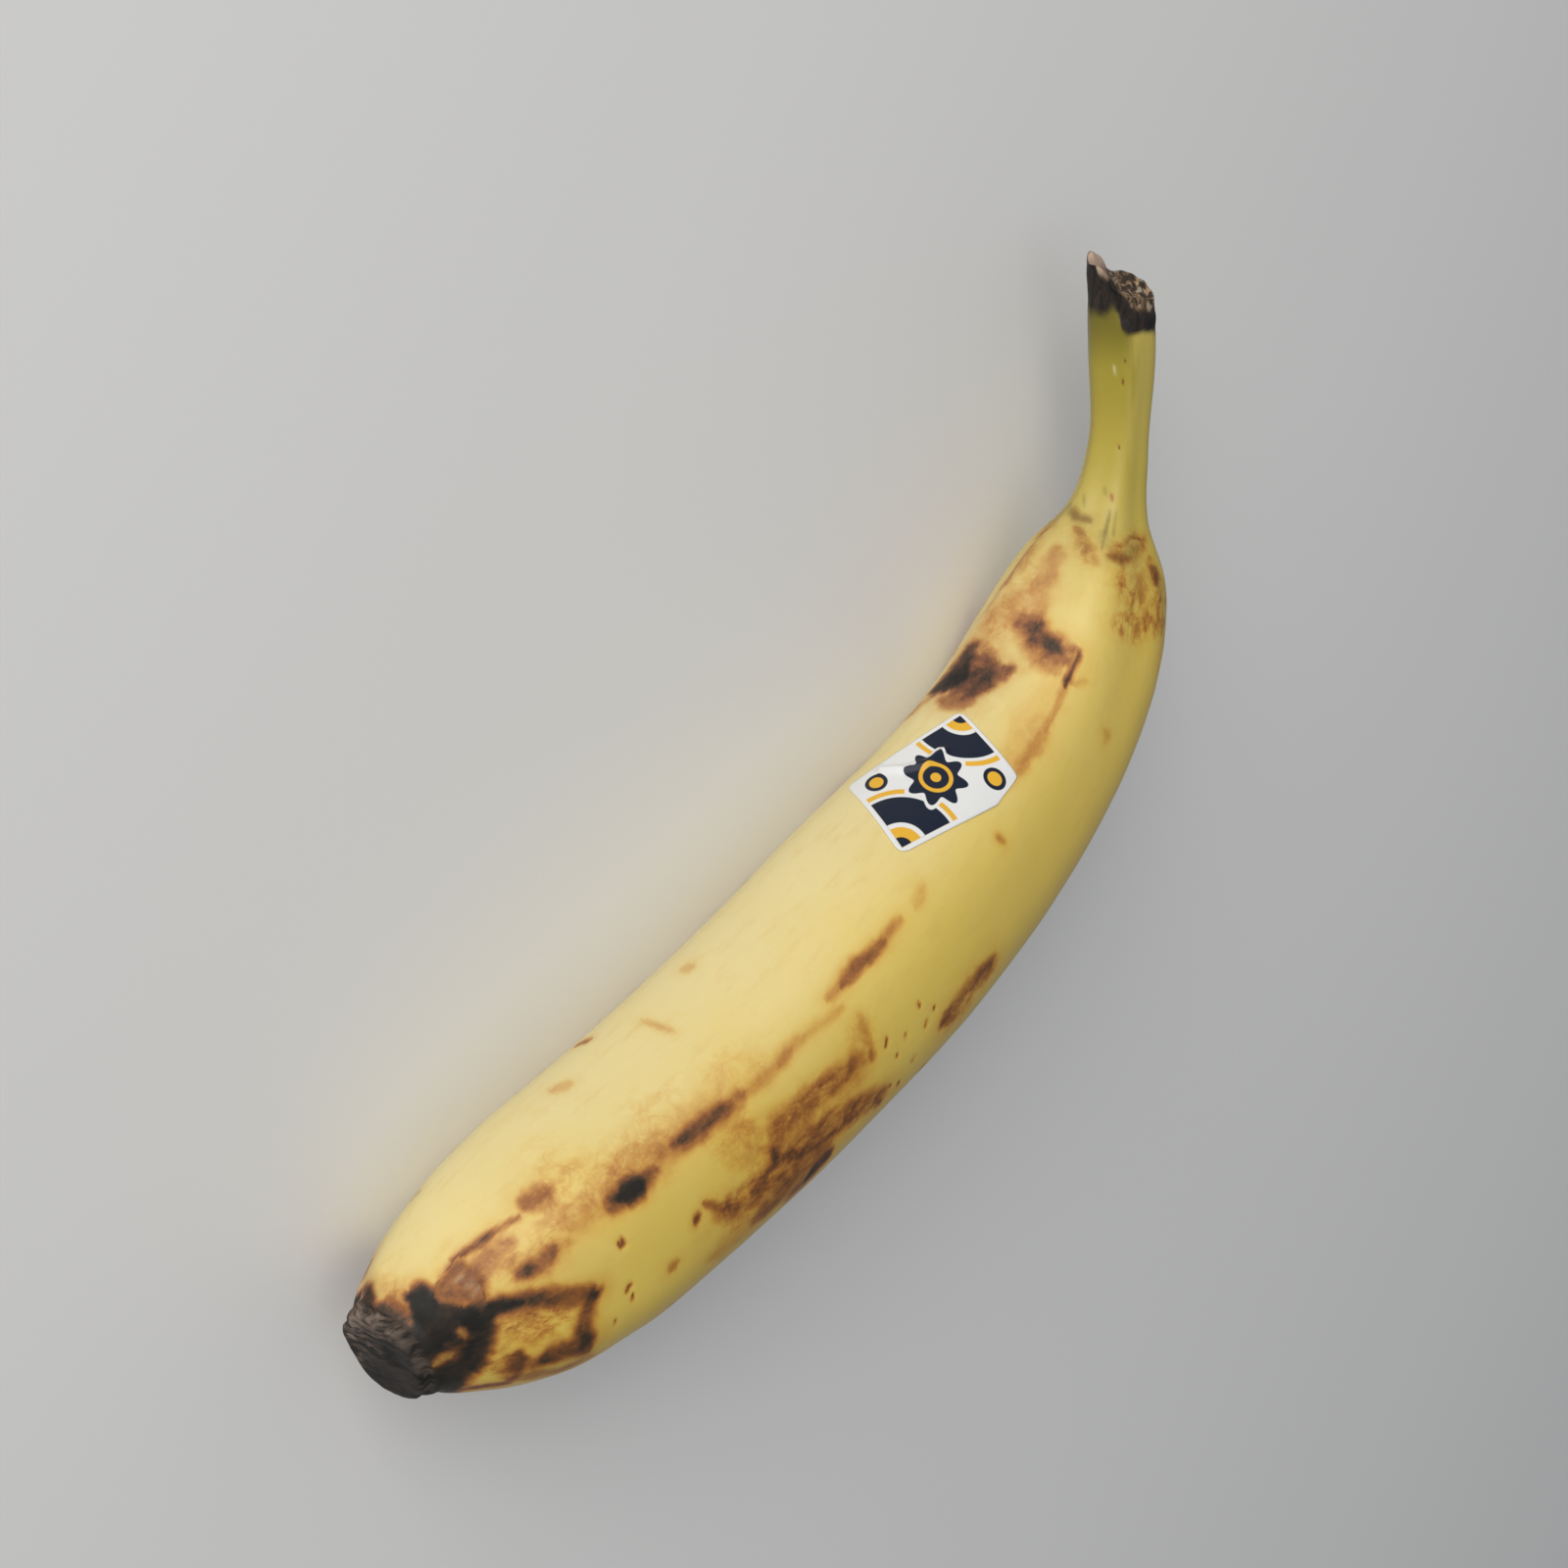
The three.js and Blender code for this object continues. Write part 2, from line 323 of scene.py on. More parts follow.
# %% The blossom end
BLOSSOM_END = [
    (0.8, 1.3, 1.0, [(371, 1316), (376, 1333)]),
    (PLUM, 1.7, 1.0, [(380, 1340), (400, 1348), (416, 1360)]),
    (0.66, 1.4, 1.1, [(388, 1332), (404, 1338), (420, 1350)]),
    (0.97, 1.5, 1.1, [(416, 1324), (428, 1322), (440, 1330)]),
    (0.98, 2.0, 1.1, [(424, 1334), (446, 1344), (468, 1348), (490, 1346)]),
    (0.98, 1.5, 0.9, [(424, 1346), (434, 1366), (438, 1390), (442, 1416)]),
    (0.98, 2.2, 0.9, [(434, 1354), (448, 1362), (456, 1366)]),
    (CHARCOAL, 1.3, 1.0, [(450, 1400), (464, 1390), (476, 1378)]),
    (0.97, 1.7, 1.1, [(498, 1342), (492, 1364), (482, 1388), (464, 1408), (440, 1418)]),
    (CHARCOAL, 1.6, 1.2, [(444, 1370), (462, 1372), (478, 1360)]),
    (CHARCOAL, 1.1, 1.1, [(470, 1342), (500, 1338), (532, 1330)]),
]
print("strokes here:", len(BLOSSOM_END))

# %% The stain beside its crack
CRACK_STAIN = [
    (0.64, 1.9, 1.0, [(448, 1318), (468, 1302), (482, 1310), (486, 1328)]),
    (0.64, 1.6, 1.0, [(456, 1324), (474, 1322)]),
    (0.34, 1.6, 2.2, [(484, 1296), (502, 1284), (518, 1270)]),
    (RUSSET, 0.25, 0.6, [(460, 1286), (466, 1281), (482, 1272), (500, 1259), (514, 1250), (530, 1242)]),
    (PLUM, 0.4, 0.8, [(470, 1280), (486, 1270), (502, 1258)]),
]
print("strokes here:", len(CRACK_STAIN))

# %% The loop of dark brown
LOOP = [
    (RUSSET, 0.6, 1.1, [(510, 1334), (530, 1330), (550, 1326)]),
    (0.8, 1.1, 1.2, [(500, 1336), (524, 1330), (559, 1325), (580, 1327), (610, 1320)]),
    (0.78, 0.9, 1.2, [(606, 1318), (602, 1334), (596, 1356), (600, 1378)]),
    (0.78, 1.4, 1.4, [(604, 1366), (590, 1376), (574, 1381), (556, 1388)]),
    (RUSSET, 0.8, 1.3, [(572, 1382), (544, 1393), (524, 1394)]),
    (PLUM, 1.0, 1.3, [(530, 1382), (526, 1396), (522, 1408)]),
    (BROWN, 0.7, 1.6, [(528, 1408), (570, 1399), (606, 1384)]),
    (PLUM, 0.4, 0.8, [(474, 1418), (500, 1414), (520, 1412)]),
]
print("strokes here:", len(LOOP))

# %% The main ridge, from the blossom end up
MAIN_RIDGE = [
    (0.66, 0.75, 1.2, [(530, 1300), (544, 1295), (554, 1286), (566, 1275)]),
    (PLUM, 0.7, 1.0, [(536, 1298), (548, 1294)]),
    (TAN, 1.0, 2.0, [(534, 1302), (556, 1288), (580, 1268)]),
    (RUSSET, 1.1, 1.5, [(536, 1228), (552, 1218), (562, 1214)]),
    (TAN, 1.6, 2.2, [(570, 1258), (592, 1244), (615, 1226), (630, 1202)]),
    (TAN, 0.7, 1.6, [(588, 1252), (610, 1238), (628, 1226)]),
    (TAN, 1.0, 1.9, [(622, 1200), (634, 1190), (650, 1182)]),
    (0.96, 1.3, 1.2, [(634, 1221), (646, 1213), (654, 1206)]),
    (0.66, 1.2, 1.3, [(624, 1230), (648, 1210), (668, 1194)]),
    (TAN, 1.6, 2.2, [(616, 1236), (650, 1206), (684, 1176)]),
    (0.66, 1.0, 1.2, [(686, 1170), (716, 1149), (746, 1128)]),
    (PLUM, 0.7, 1.0, [(694, 1164), (716, 1149), (736, 1134)]),
    (BROWN, 0.9, 1.8, [(676, 1178), (700, 1160)]),
    (RUSSET, 0.75, 1.2, [(738, 1132), (760, 1117)]),
    (TAN, 1.0, 2.0, [(684, 1158), (706, 1142), (734, 1120)]),
    (0.32, 0.4, 1.4, [(752, 1124), (784, 1098), (803, 1077), (824, 1056)]),
    (BROWN, 0.25, 1.0, [(794, 1088), (808, 1072)]),
    (TAN, 0.4, 1.0, [(815, 1066), (834, 1047), (860, 1028)]),
    (0.66, 0.6, 1.0, [(858, 1006), (880, 982), (902, 960)]),
    (BROWN, 0.5, 1.2, [(846, 1018), (866, 996), (890, 972), (908, 952), (918, 938)]),
    (TAN, 0.4, 1.0, [(935, 925), (942, 902)]),
]
print("strokes here:", len(MAIN_RIDGE))

# %% The bands of the outer face
OUTER_BANDS = [
    (RUSSET, 0.7, 1.1, [(868, 1090), (870, 1085)]),
    (RUSSET, 0.45, 0.9, [(890, 1081), (889, 1074)]),
    (TAN, 0.35, 0.9, [(876, 1036), (884, 1054), (889, 1070)]),
    (TAN, 2.6, 3.0, [(880, 1096), (844, 1124), (812, 1152), (786, 1186)]),
    (0.3, 2.6, 3.0, [(846, 1152), (816, 1182), (780, 1214), (750, 1234)]),
    (BROWN, 1.3, 1.8, [(880, 1082), (858, 1098), (829, 1120), (809, 1137), (788, 1158)]),
    (BROWN, 0.9, 1.6, [(800, 1144), (790, 1166), (794, 1188)]),
    (0.5, 1.5, 1.9, [(902, 1116), (869, 1133), (846, 1149), (826, 1166), (796, 1196)]),
    (BROWN, 1.5, 2.0, [(812, 1180), (783, 1206), (760, 1224), (734, 1240)]),
    (0.5, 1.5, 2.2, [(852, 1160), (822, 1190), (800, 1213), (770, 1246)]),
    (TAN, 1.6, 2.6, [(776, 1240), (750, 1262), (730, 1280)]),
    (0.14, 2.0, 2.6, [(752, 1150), (765, 1176), (790, 1170)]),
    (TAN, 0.8, 1.6, [(754, 1146), (766, 1166), (778, 1171)]),
    (PLUM, 0.4, 0.9, [(789, 1175), (793, 1186)]),
    (PLUM, 0.3, 0.7, [(710, 1248), (713, 1240)]),
    (0.6, 0.25, 0.8, [(719, 1228), (731, 1232), (744, 1232)]),
    (CHARCOAL, 0.7, 1.3, [(824, 1202), (838, 1186), (848, 1174)]),
    (0.5, 1.0, 1.8, [(804, 1222), (824, 1202)]),
    (PLUM, 0.4, 1.1, [(961, 1046), (969, 1031)]),
    (0.4, 0.8, 2.2, [(970, 1034), (990, 1008), (1008, 984)]),
    (0.54, 0.4, 1.0, [(992, 1010), (1012, 982)]),
]
print("strokes here:", len(OUTER_BANDS))

# %% The upper body
UPPER_BODY = [
    (CHARCOAL, 1.7, 1.8, [(952, 706), (970, 692), (982, 676), (990, 662)]),
    (CHARCOAL, 1.5, 1.6, [(966, 702), (984, 684)]),
    (0.72, 3.0, 1.7, [(976, 704), (992, 692), (1004, 684)]),
    (PLUM, 1.2, 1.2, [(984, 712), (1002, 700), (1016, 690), (1030, 682)]),
    (0.66, 1.3, 1.3, [(1010, 694), (1012, 674)]),
    (0.64, 2.2, 1.3, [(988, 684), (1004, 674)]),
    (RUSSET, 1.5, 1.5, [(962, 714), (990, 717)]),
    (BROWN, 1.0, 1.6, [(926, 732), (950, 712)]),
    (0.5, 1.2, 1.6, [(990, 662), (1012, 668)]),
    (TAN, 2.4, 2.8, [(1000, 656), (1018, 632), (1040, 612)]),
    (TAN, 1.2, 2.4, [(1006, 640), (1022, 616)]),
    (0.34, 1.2, 2.3, [(1044, 640), (1056, 620), (1066, 594), (1078, 560)]),
    (0.28, 2.0, 2.8, [(1004, 628), (1030, 590), (1058, 552), (1074, 534)]),
    (0.8, 1.2, 1.8, [(1052, 638), (1064, 652), (1078, 662)]),
    (0.6, 1.9, 1.9, [(1044, 628), (1062, 654), (1086, 672)]),
    (BROWN, 1.0, 1.6, [(1056, 668), (1078, 682)]),
    (RUSSET, 0.45, 0.8, [(1080, 664), (1102, 662)]),
    (CHARCOAL, 0.35, 0.5, [(1103, 665), (1096, 680), (1086, 700)]),
    (BROWN, 0.15, 0.9, [(1088, 698), (1077, 725), (1066, 745)]),
    (BROWN, 0.4, 1.2, [(1068, 743), (1050, 770), (1036, 792)]),
    (0.2, 1.4, 2.6, [(1064, 738), (1046, 762), (1032, 782)]),
    (0.14, 1.6, 3.0, [(1072, 704), (1058, 728), (1044, 748)]),
    (TAN, 0.4, 0.8, [(1096, 699), (1108, 695)]),
    (TAN, 0.45, 0.7, [(1126, 745), (1131, 752), (1126, 758)]),
]
print("strokes here:", len(UPPER_BODY))

# %% The neck
NECK = [
    (TAN, 0.3, 0.9, [(1094, 520), (1099, 527), (1112, 531)]),
    (TAN, 0.3, 0.9, [(1096, 538), (1106, 546)]),
    (0.16, 0.5, 1.4, [(1102, 548), (1112, 566), (1120, 574)]),
    (BROWN, 0.12, 0.4, [(1134, 505), (1135, 510)]),
    (BROWN, 0.14, 0.45, [(1139, 555), (1145, 557), (1154, 549), (1160, 549), (1168, 552)]),
    (BROWN, 0.3, 0.9, [(1130, 566), (1142, 571), (1154, 570)]),
    (TAN, 0.6, 1.3, [(1138, 570), (1156, 568), (1166, 556)]),
]
print("strokes here:", len(NECK))

# %% Single spots
SPOTS = [
    (BROWN, 0.6, 0.9, [(684, 1296), (690, 1289)]),
    (BROWN, 0.5, 0.9, [(1018, 853), (1024, 858)]),
    (TAN, 0.5, 1.0, [(562, 1112), (582, 1106)]),
    (TAN, 0.5, 1.0, [(696, 989), (706, 986)]),
    (RUSSET, 0.35, 0.7, [(587, 1068), (602, 1061)]),
    (TAN, 0.3, 0.7, [(654, 1041), (672, 1047), (689, 1053)]),
]
print("strokes here:", len(SPOTS))

# %% All bruises of the near side
BRUISES = [*BLOSSOM_END, *CRACK_STAIN, *LOOP, *MAIN_RIDGE, *OUTER_BANDS, *UPPER_BODY, *NECK, *SPOTS]
print("bruises:", len(BRUISES), "strokes")

# %% [markdown]
# ## Smoke, painted shade, gaps and painted highlights
# Some bruises are grey rather than brown, and a few grey strokes are painted shade where the peel turns
# away from the light. Some marks leave gaps of fresh peel, and a few pale flecks are painted highlights.
# They could be colours of one ramp, but they lie over brown and yellow alike, so each is a field of its
# own. All are drawn as the bruises are.

# %% Smoky grey bruises, and painted shade
GREYS_AND_SHADE = [
    (1.0, 1.3, 1.0, [(373, 1316), (377, 1331)]),
    (0.5, 2.2, 1.4, [(438, 1344), (458, 1344)]),
    # Painted shade: this stroke darkens the olive, shadowed peel beside the blossom end
    (1.0, 1.5, 1.2, [(432, 1402), (454, 1387), (466, 1377), (475, 1360), (484, 1350)]),
    (0.6, 1.8, 1.8, [(962, 702), (984, 678)]),
    (0.6, 2.6, 2.2, [(980, 704), (996, 692), (1012, 682)]),
    (0.5, 1.1, 1.8, [(820, 1196), (800, 1218), (776, 1242)]),
    (0.7, 0.14, 0.4, [(1106, 505), (1106, 517)]),
    (0.85, 0.4, 0.9, [(1090, 516), (1098, 527), (1112, 531)]),
    # Painted shade along the neck's shaded edge
    (0.6, 0.7, 1.5, [(1074, 528), (1092, 514)]),
    (0.3, 0.4, 0.8, [(1098, 534), (1106, 546)]),
    (0.3, 0.3, 0.7, [(1104, 556), (1109, 563)]),
    (0.9, 0.12, 0.35, [(1133, 521), (1129, 538), (1124, 562)]),
    (0.6, 0.1, 0.3, [(1139, 522), (1136, 548)]),
    (0.5, 0.14, 0.3, [(1127, 499), (1128, 503)]),
    (0.35, 0.5, 1.0, [(1124, 544), (1132, 560)]),
    (0.6, 0.5, 1.0, [(1131, 569), (1146, 570), (1160, 556)]),
    (0.5, 0.4, 1.0, [(404, 1246), (416, 1232), (430, 1217)]),
    (0.35, 0.8, 1.6, [(534, 1404), (570, 1396), (604, 1380)]),
    (0.5, 0.7, 1.6, [(1180, 584), (1187, 612), (1185, 642)]),
    (0.4, 1.2, 1.4, [(500, 1400), (516, 1390), (528, 1396)]),
]
print("smoky strokes:", len(GREYS_AND_SHADE))

# %% Gaps of fresh peel, and pale flecks painted as highlights
CLEARINGS = [
    (0.82, 0.3, 0.7, [(443, 1394), (452, 1388), (461, 1382)]),
    (0.75, 0.25, 0.6, [(470, 1358), (475, 1366)]),
    (0.5, 0.4, 1.2, [(500, 1408), (520, 1402)]),
]
# A glint on the stalk and light on the split stain's ridges, painted as pale flecks
PAINTED_GLINTS = [
    (0.7, 0.05, 0.25, [(1137, 374), (1138, 382)]),
    (0.25, 0.06, 0.3, [(463, 1308), (470, 1303)]),
    (0.22, 0.06, 0.3, [(475, 1314), (483, 1308)]),
    (0.22, 0.06, 0.3, [(482, 1322), (489, 1314)]),
]
print("gaps:", len(CLEARINGS), "scratches:", len(PAINTED_GLINTS))

# %% [markdown]
# ## Cracks, specks and mottled patches
# The skin splits in hair-thin cracks and freckles into small specks, and where it was rubbed it goes
# brown in a lacy pattern. Cracks need only a width. A mottled patch says where the lace is and how
# strong, and the material weaves the lace itself out of noise.

# %% Cracks and specks: width in millimetres, then the line
CRACKS = [
    (0.32, [(458, 1287), (466, 1281), (478, 1274)]),
    (0.26, [(462, 1288), (455, 1297), (447, 1307), (440, 1322)]),
    (0.24, [(463, 1290), (470, 1292), (476, 1296)]),
    (0.28, [(486, 1306), (493, 1318), (495, 1332)]),
    (0.3, [(634, 1264), (637, 1268), (634, 1272), (631, 1268)]),
    (0.28, [(640, 1318), (644, 1311)]),
    (0.24, [(646, 1322), (646, 1327)]),
    (0.24, [(628, 1352), (629, 1347)]),
    (0.26, [(937, 1025), (938, 1026)]),
    (0.26, [(953, 1030), (954, 1028)]),
    (0.26, [(944, 1046), (947, 1041)]),
    (0.24, [(924, 1059), (925, 1055)]),
    (0.24, [(905, 1061), (905, 1059)]),
    (0.24, [(904, 1069), (905, 1066)]),
    (0.24, [(915, 1077), (915, 1078)]),
    (0.26, [(931, 1082), (934, 1078)]),
    (0.28, [(908, 1111), (909, 1107)]),
    (0.28, [(916, 1108), (917, 1105)]),
    (0.15, [(1146, 389), (1146, 392)]),
    (0.13, [(1148, 367), (1148, 370)]),
    (0.13, [(1141, 455), (1142, 457)]),
]
print("cracks and specks:", len(CRACKS))

# %% Mottled patches: strength, core and fade in millimetres, then the line
MOTTLES = [
    (0.8, 1.5, 1.6, [(796, 1150), (820, 1130), (846, 1106), (866, 1092)]),
    (0.9, 1.7, 1.8, [(740, 1232), (776, 1210), (796, 1192), (826, 1168), (850, 1150), (896, 1122)]),
    (0.6, 2.4, 3.0, [(744, 1236), (775, 1222), (806, 1200)]),
    (0.45, 2.5, 3.6, [(742, 1172), (780, 1170), (830, 1146)]),
    (0.4, 1.2, 2.4, [(870, 1050), (888, 1062)]),
    (0.55, 1.8, 2.6, [(596, 1226), (622, 1196), (650, 1178), (672, 1160)]),
    (0.5, 2.4, 2.6, [(562, 1190), (580, 1204), (572, 1230), (560, 1250)]),
    (0.4, 1.2, 2.2, [(654, 1142), (664, 1130)]),
    (0.4, 1.0, 2.0, [(682, 1134), (684, 1112)]),
    (0.4, 1.4, 2.6, [(730, 1098), (750, 1086), (776, 1084)]),
    (0.5, 1.6, 2.2, [(490, 1302), (506, 1286), (522, 1268)]),
    (0.5, 1.5, 2.2, [(522, 1304), (548, 1284), (572, 1262)]),
    (0.85, 2.6, 1.8, [(516, 1350), (545, 1352), (574, 1344)]),
    (0.9, 2.0, 1.8, [(498, 1386), (514, 1398)]),
    (0.6, 1.4, 1.4, [(448, 1386), (460, 1374), (472, 1362)]),
    (0.5, 0.8, 1.4, [(390, 1306), (402, 1314)]),
    (0.8, 1.4, 2.6, [(968, 1044), (990, 1014), (1012, 985)]),
    (0.8, 2.4, 2.2, [(1146, 596), (1160, 612), (1166, 632)]),
    (0.8, 1.6, 1.6, [(1140, 636), (1160, 642), (1182, 638)]),
    (1.0, 1.2, 1.4, [(1174, 572), (1184, 604), (1184, 642)]),
    (0.4, 0.6, 1.6, [(1184, 654), (1182, 680)]),
    (0.75, 1.0, 2.0, [(1066, 538), (1044, 568), (1024, 600)]),
    (0.4, 2.0, 3.0, [(1050, 560), (1034, 600), (1016, 640)]),
    (0.5, 1.2, 1.8, [(1100, 540), (1108, 560), (1118, 572)]),
    (0.6, 1.2, 1.6, [(1138, 562), (1156, 556), (1168, 550)]),
    (0.6, 2.2, 2.6, [(1142, 590), (1166, 596), (1180, 616)]),
]
print("mottled patches:", len(MOTTLES))

# %% [markdown]
# ## The far side's marks
# A real fruit is marked all round, also where this picture doesn't reach. Nothing tells where those
# marks lie, so they are drawn at random in the same colours and sizes, from one seed, which gives the
# same fruit each run. Their lines are pairs of millimetres along the fruit and degrees round it.

# %% Random streaks, mottled patches and specks
dice = np.random.default_rng(7)
HIDDEN_RIDGES = (160, 230, 285)
STREAK_STARTS = (22, 64, 104, 138)
PATCH_COUNT = 9
SPECK_COUNT = 46


def hidden_streaks():
    for ridge, start in itertools.product(HIDDEN_RIDGES, STREAK_STARTS):
        begin = start + dice.uniform(-8, 8)
        length = dice.uniform(8, 20)
        drift = dice.uniform(-5, 5)
        darkness = dice.choice([BROWN, RUSSET, PLUM])
        core = dice.uniform(0.4, 1.0)
        line = [(begin, ridge + drift), (begin + length / 2, ridge + drift + 2), (begin + length, ridge)]
        yield darkness, core, core + 1.0, line


def hidden_mottles():
    for _ in range(PATCH_COUNT):
        along, angle = dice.uniform(15, 150), dice.uniform(155, 300)
        reach = dice.uniform(5, 14)
        strength = dice.uniform(0.4, 0.8)
        yield strength, 1.6, 3.2, [(along, angle), (along + reach, angle + dice.uniform(-10, 10))]


def hidden_specks():
    for _ in range(SPECK_COUNT):
        along, angle = dice.uniform(12, 170), dice.uniform(140, 330)
        width = dice.uniform(0.25, 0.45)
        yield width, [(along, angle), (along + dice.uniform(0.3, 1.4), angle)]


# %% All marks of the far side
HIDDEN_BRUISES = [
    # The blossom end goes dark all the way round
    (PLUM, 0.7, 1.3, [(0.4, angle) for angle in range(-90, 450, 12)]),
    (BLACK, 1.6, 1.6, [(1.5, angle) for angle in range(138, 398, 12)]),
    (CHARCOAL, 1.6, 2.2, [(6, 150), (8, 170), (5, 200)]),
    (CHARCOAL, 2.0, 2.6, [(5, 255), (9, 270), (7, 300)]),
    (PLUM, 1.2, 2.2, [(12, 265), (20, 258), (27, 262)]),
    *hidden_streaks(),
]
HIDDEN_MOTTLES = list(hidden_mottles())
HIDDEN_CRACKS = list(hidden_specks())
print("hidden strokes:", len(HIDDEN_BRUISES) + len(HIDDEN_MOTTLES) + len(HIDDEN_CRACKS))

# %% [markdown]
# ## From strokes to fields
# A bruise fades unevenly into sound peel. For that the distance from every corner of the grid to a
# stroke's line is measured, a little soft noise is added to it, and the sum is eased from dark to
# nothing. Painting the corners by hand in Blender would do as well, but it couldn't be corrected later.


# %% Soft noise
def lumps(points, width, seed):
    """Soft noise from -1 to 1, whose lumps are about width millimetres wide."""
    lattice = np.random.default_rng(seed).uniform(-1, 1, (32, 32, 32))
    place = points / width
    cell = np.floor(place).astype(int)
    t = place - cell
    t = t * t * (3 - 2 * t)
    total = 0
    for corner in itertools.product((0, 1), repeat=3):
        weight = np.prod(np.where(corner, t, 1 - t), axis=-1)
        total = total + weight * lattice[tuple(np.moveaxis((cell + corner) % 32, -1, 0))]
    return total


EVEN = (1, 1, 1)


def uneven(points, kinds):
    """Kinds of lumps added up: each has a height, a width in millimetres, a seed, and a stretch."""
    return sum(height * lumps(points * stretch, width, seed) for height, width, seed, stretch in kinds)


flat_base = base.reshape(-1, 3)
ragged = uneven(flat_base, [(0.5, 2.2, 1, EVEN), (0.3, 0.9, 2, EVEN)])
print("the noise at bruise edges runs from", ragged.min().round(2), "to", ragged.max().round(2))

# %% Lines of close points on the peel
PIXEL_STEP = 2
DEGREE_STEP = 0.7


def dense(line, step):
    """The line with more points, no further apart than step."""
    line = np.array(line, float)
    pieces = [line[:1]]
    for start, end in zip(line[:-1], line[1:]):
        count = max(1, math.ceil(np.linalg.norm(end - start) / step))
        pieces.append(start + (end - start) * np.linspace(0, 1, count + 1)[1:, None])
    return np.concatenate(pieces)


def seen_line(line):
    return peel_under(dense(line, PIXEL_STEP))


def hidden_line(line):
    along, angle = dense(line, DEGREE_STEP).T
    return skin(along, angle) + TO_FRAME


# %% One stroke as a field
# The share of the core that is fully dark, how much of the noise the fade and the core take, and how
# far beyond its fade a stroke still tints the peel
FULL_CORE = 0.4
FADE_NOISE = 0.4
CORE_NOISE = 0.25
FADE_SPREAD = 0.1
HALO_REACH = 2.4
HALO_SHARE = 0.2
# A stroke thins towards its ends, a short one less
END_TAPER = 0.45
TAPER_POWER = 6
TAPER_POINTS = 6
SEARCH_MARGIN = 0.5


def stroke(points, core, fade):
    """1 in the stroke's core, falling softly to 0 past its fade, inside a faint wide halo."""
    field = np.zeros(len(flat_base))
    reach = core + fade * HALO_REACH + SEARCH_MARGIN
    near = ((flat_base > points.min(0) - reach) & (flat_base < points.max(0) + reach)).all(-1)
    gaps = ((flat_base[near][:, None] - points[None]) ** 2).sum(-1)
    last = len(points) - 1
    from_middle = np.abs(2 * gaps.argmin(1) / last - 1)
    thin = 1 - END_TAPER * min(1, last / TAPER_POINTS) * from_middle ** TAPER_POWER
    apart = np.sqrt(gaps.min(1)) + ragged[near] * (fade * FADE_NOISE + core * CORE_NOISE)
    mark = 1 - ease(core * thin * FULL_CORE, (core + fade) * thin + fade * FADE_SPREAD, apart)
    halo = 1 - ease(core, core + fade * HALO_REACH, apart)
    field[near] = mark * (1 - HALO_SHARE) + halo * HALO_SHARE
    return field


# %% Many strokes as one field
OVERLAP = 4


def placed(strokes, put_line):
    return [(strength, core, fade, put_line(line)) for strength, core, fade, line in strokes]


def thin_strokes(cracks):
    """Cracks as full-strength strokes that fade over their own width."""
    return [(1.0, width / 2, width, line) for width, line in cracks]


def field_of(seen_strokes, hidden_strokes=()):
    """All strokes together: where some overlap, little more than the strongest one counts."""
    total = np.zeros(len(flat_base))
    for strength, core, fade, points in placed(seen_strokes, seen_line) + placed(hidden_strokes, hidden_line):
        total = total + (strength * stroke(points, core, fade)) ** OVERLAP
    return np.minimum(total, 1) ** (1 / OVERLAP)


# %% Measure every mark at every corner of the grid
clearing = field_of(CLEARINGS)
bruise = field_of(BRUISES, HIDDEN_BRUISES) * (1 - clearing)
mottle = field_of(MOTTLES, HIDDEN_MOTTLES)
grey = field_of(GREYS_AND_SHADE)
scar = field_of(PAINTED_GLINTS)
crack = field_of(thin_strokes(CRACKS), thin_strokes(HIDDEN_CRACKS))
print("share of the peel that is bruised:", round(float((bruise > 0.3).mean()), 3))

# %% [markdown]
# ## Relief
# Peel isn't a perfect tube. It has shallow dents, bruised spots sink a little, the blossom end is a
# fibrous disc with a raised rim and a groove behind it, and the torn stalk is a mess of strands. A
# bump map could fake all of that, but it wouldn't show in the outline, so the corners themselves move.

# %% The peel laid out straight, for noise that runs along its fibres
straight = np.stack([
    grid_along + grid_push,
    smooth(RADIUS, grid_along) * grid_share * np.cos(np.radians(grid_angle)),
    smooth(RADIUS, grid_along) * grid_share * np.sin(np.radians(grid_angle)),
], -1).reshape(-1, 3)
flat_along = grid_along.ravel()
flat_angle = grid_angle.ravel()
flat_share = grid_share.ravel()
cap_face = np.repeat(on_cap, COLUMNS)
torn_face = np.repeat(on_tear, COLUMNS).astype(float)
print("laid out straight, the peel ends at", straight[:, 0].max().round(1), "mm")

# %% Where the blossom disc, the bark and the torn face lie
# Millimetres along at which they start, by degrees round, and how soft and how ragged each edge is
CAP_UNTIL = (0.1, 0.7)
BARK_FROM = [
    (0, 202), (24, 202.4), (50, 203.2), (58, 205.4), (77, 204.3), (107, 204.2),
    (131, 204.4), (160, 204.5), (230, 203.5), (345, 201.5), (360, 202),
]
TEAR_FROM = [
    (0, 206.7), (24, 206.9), (46, 208.2), (58, 209.4), (78, 208.6), (94, 209), (110, 213.5), (190, 213.5),
    (215, 209), (240, 208.4), (300, 206.8), (345, 206.5), (360, 206.7),
]
BARK_SOFT = 0.7
TEAR_SOFT = 0.5

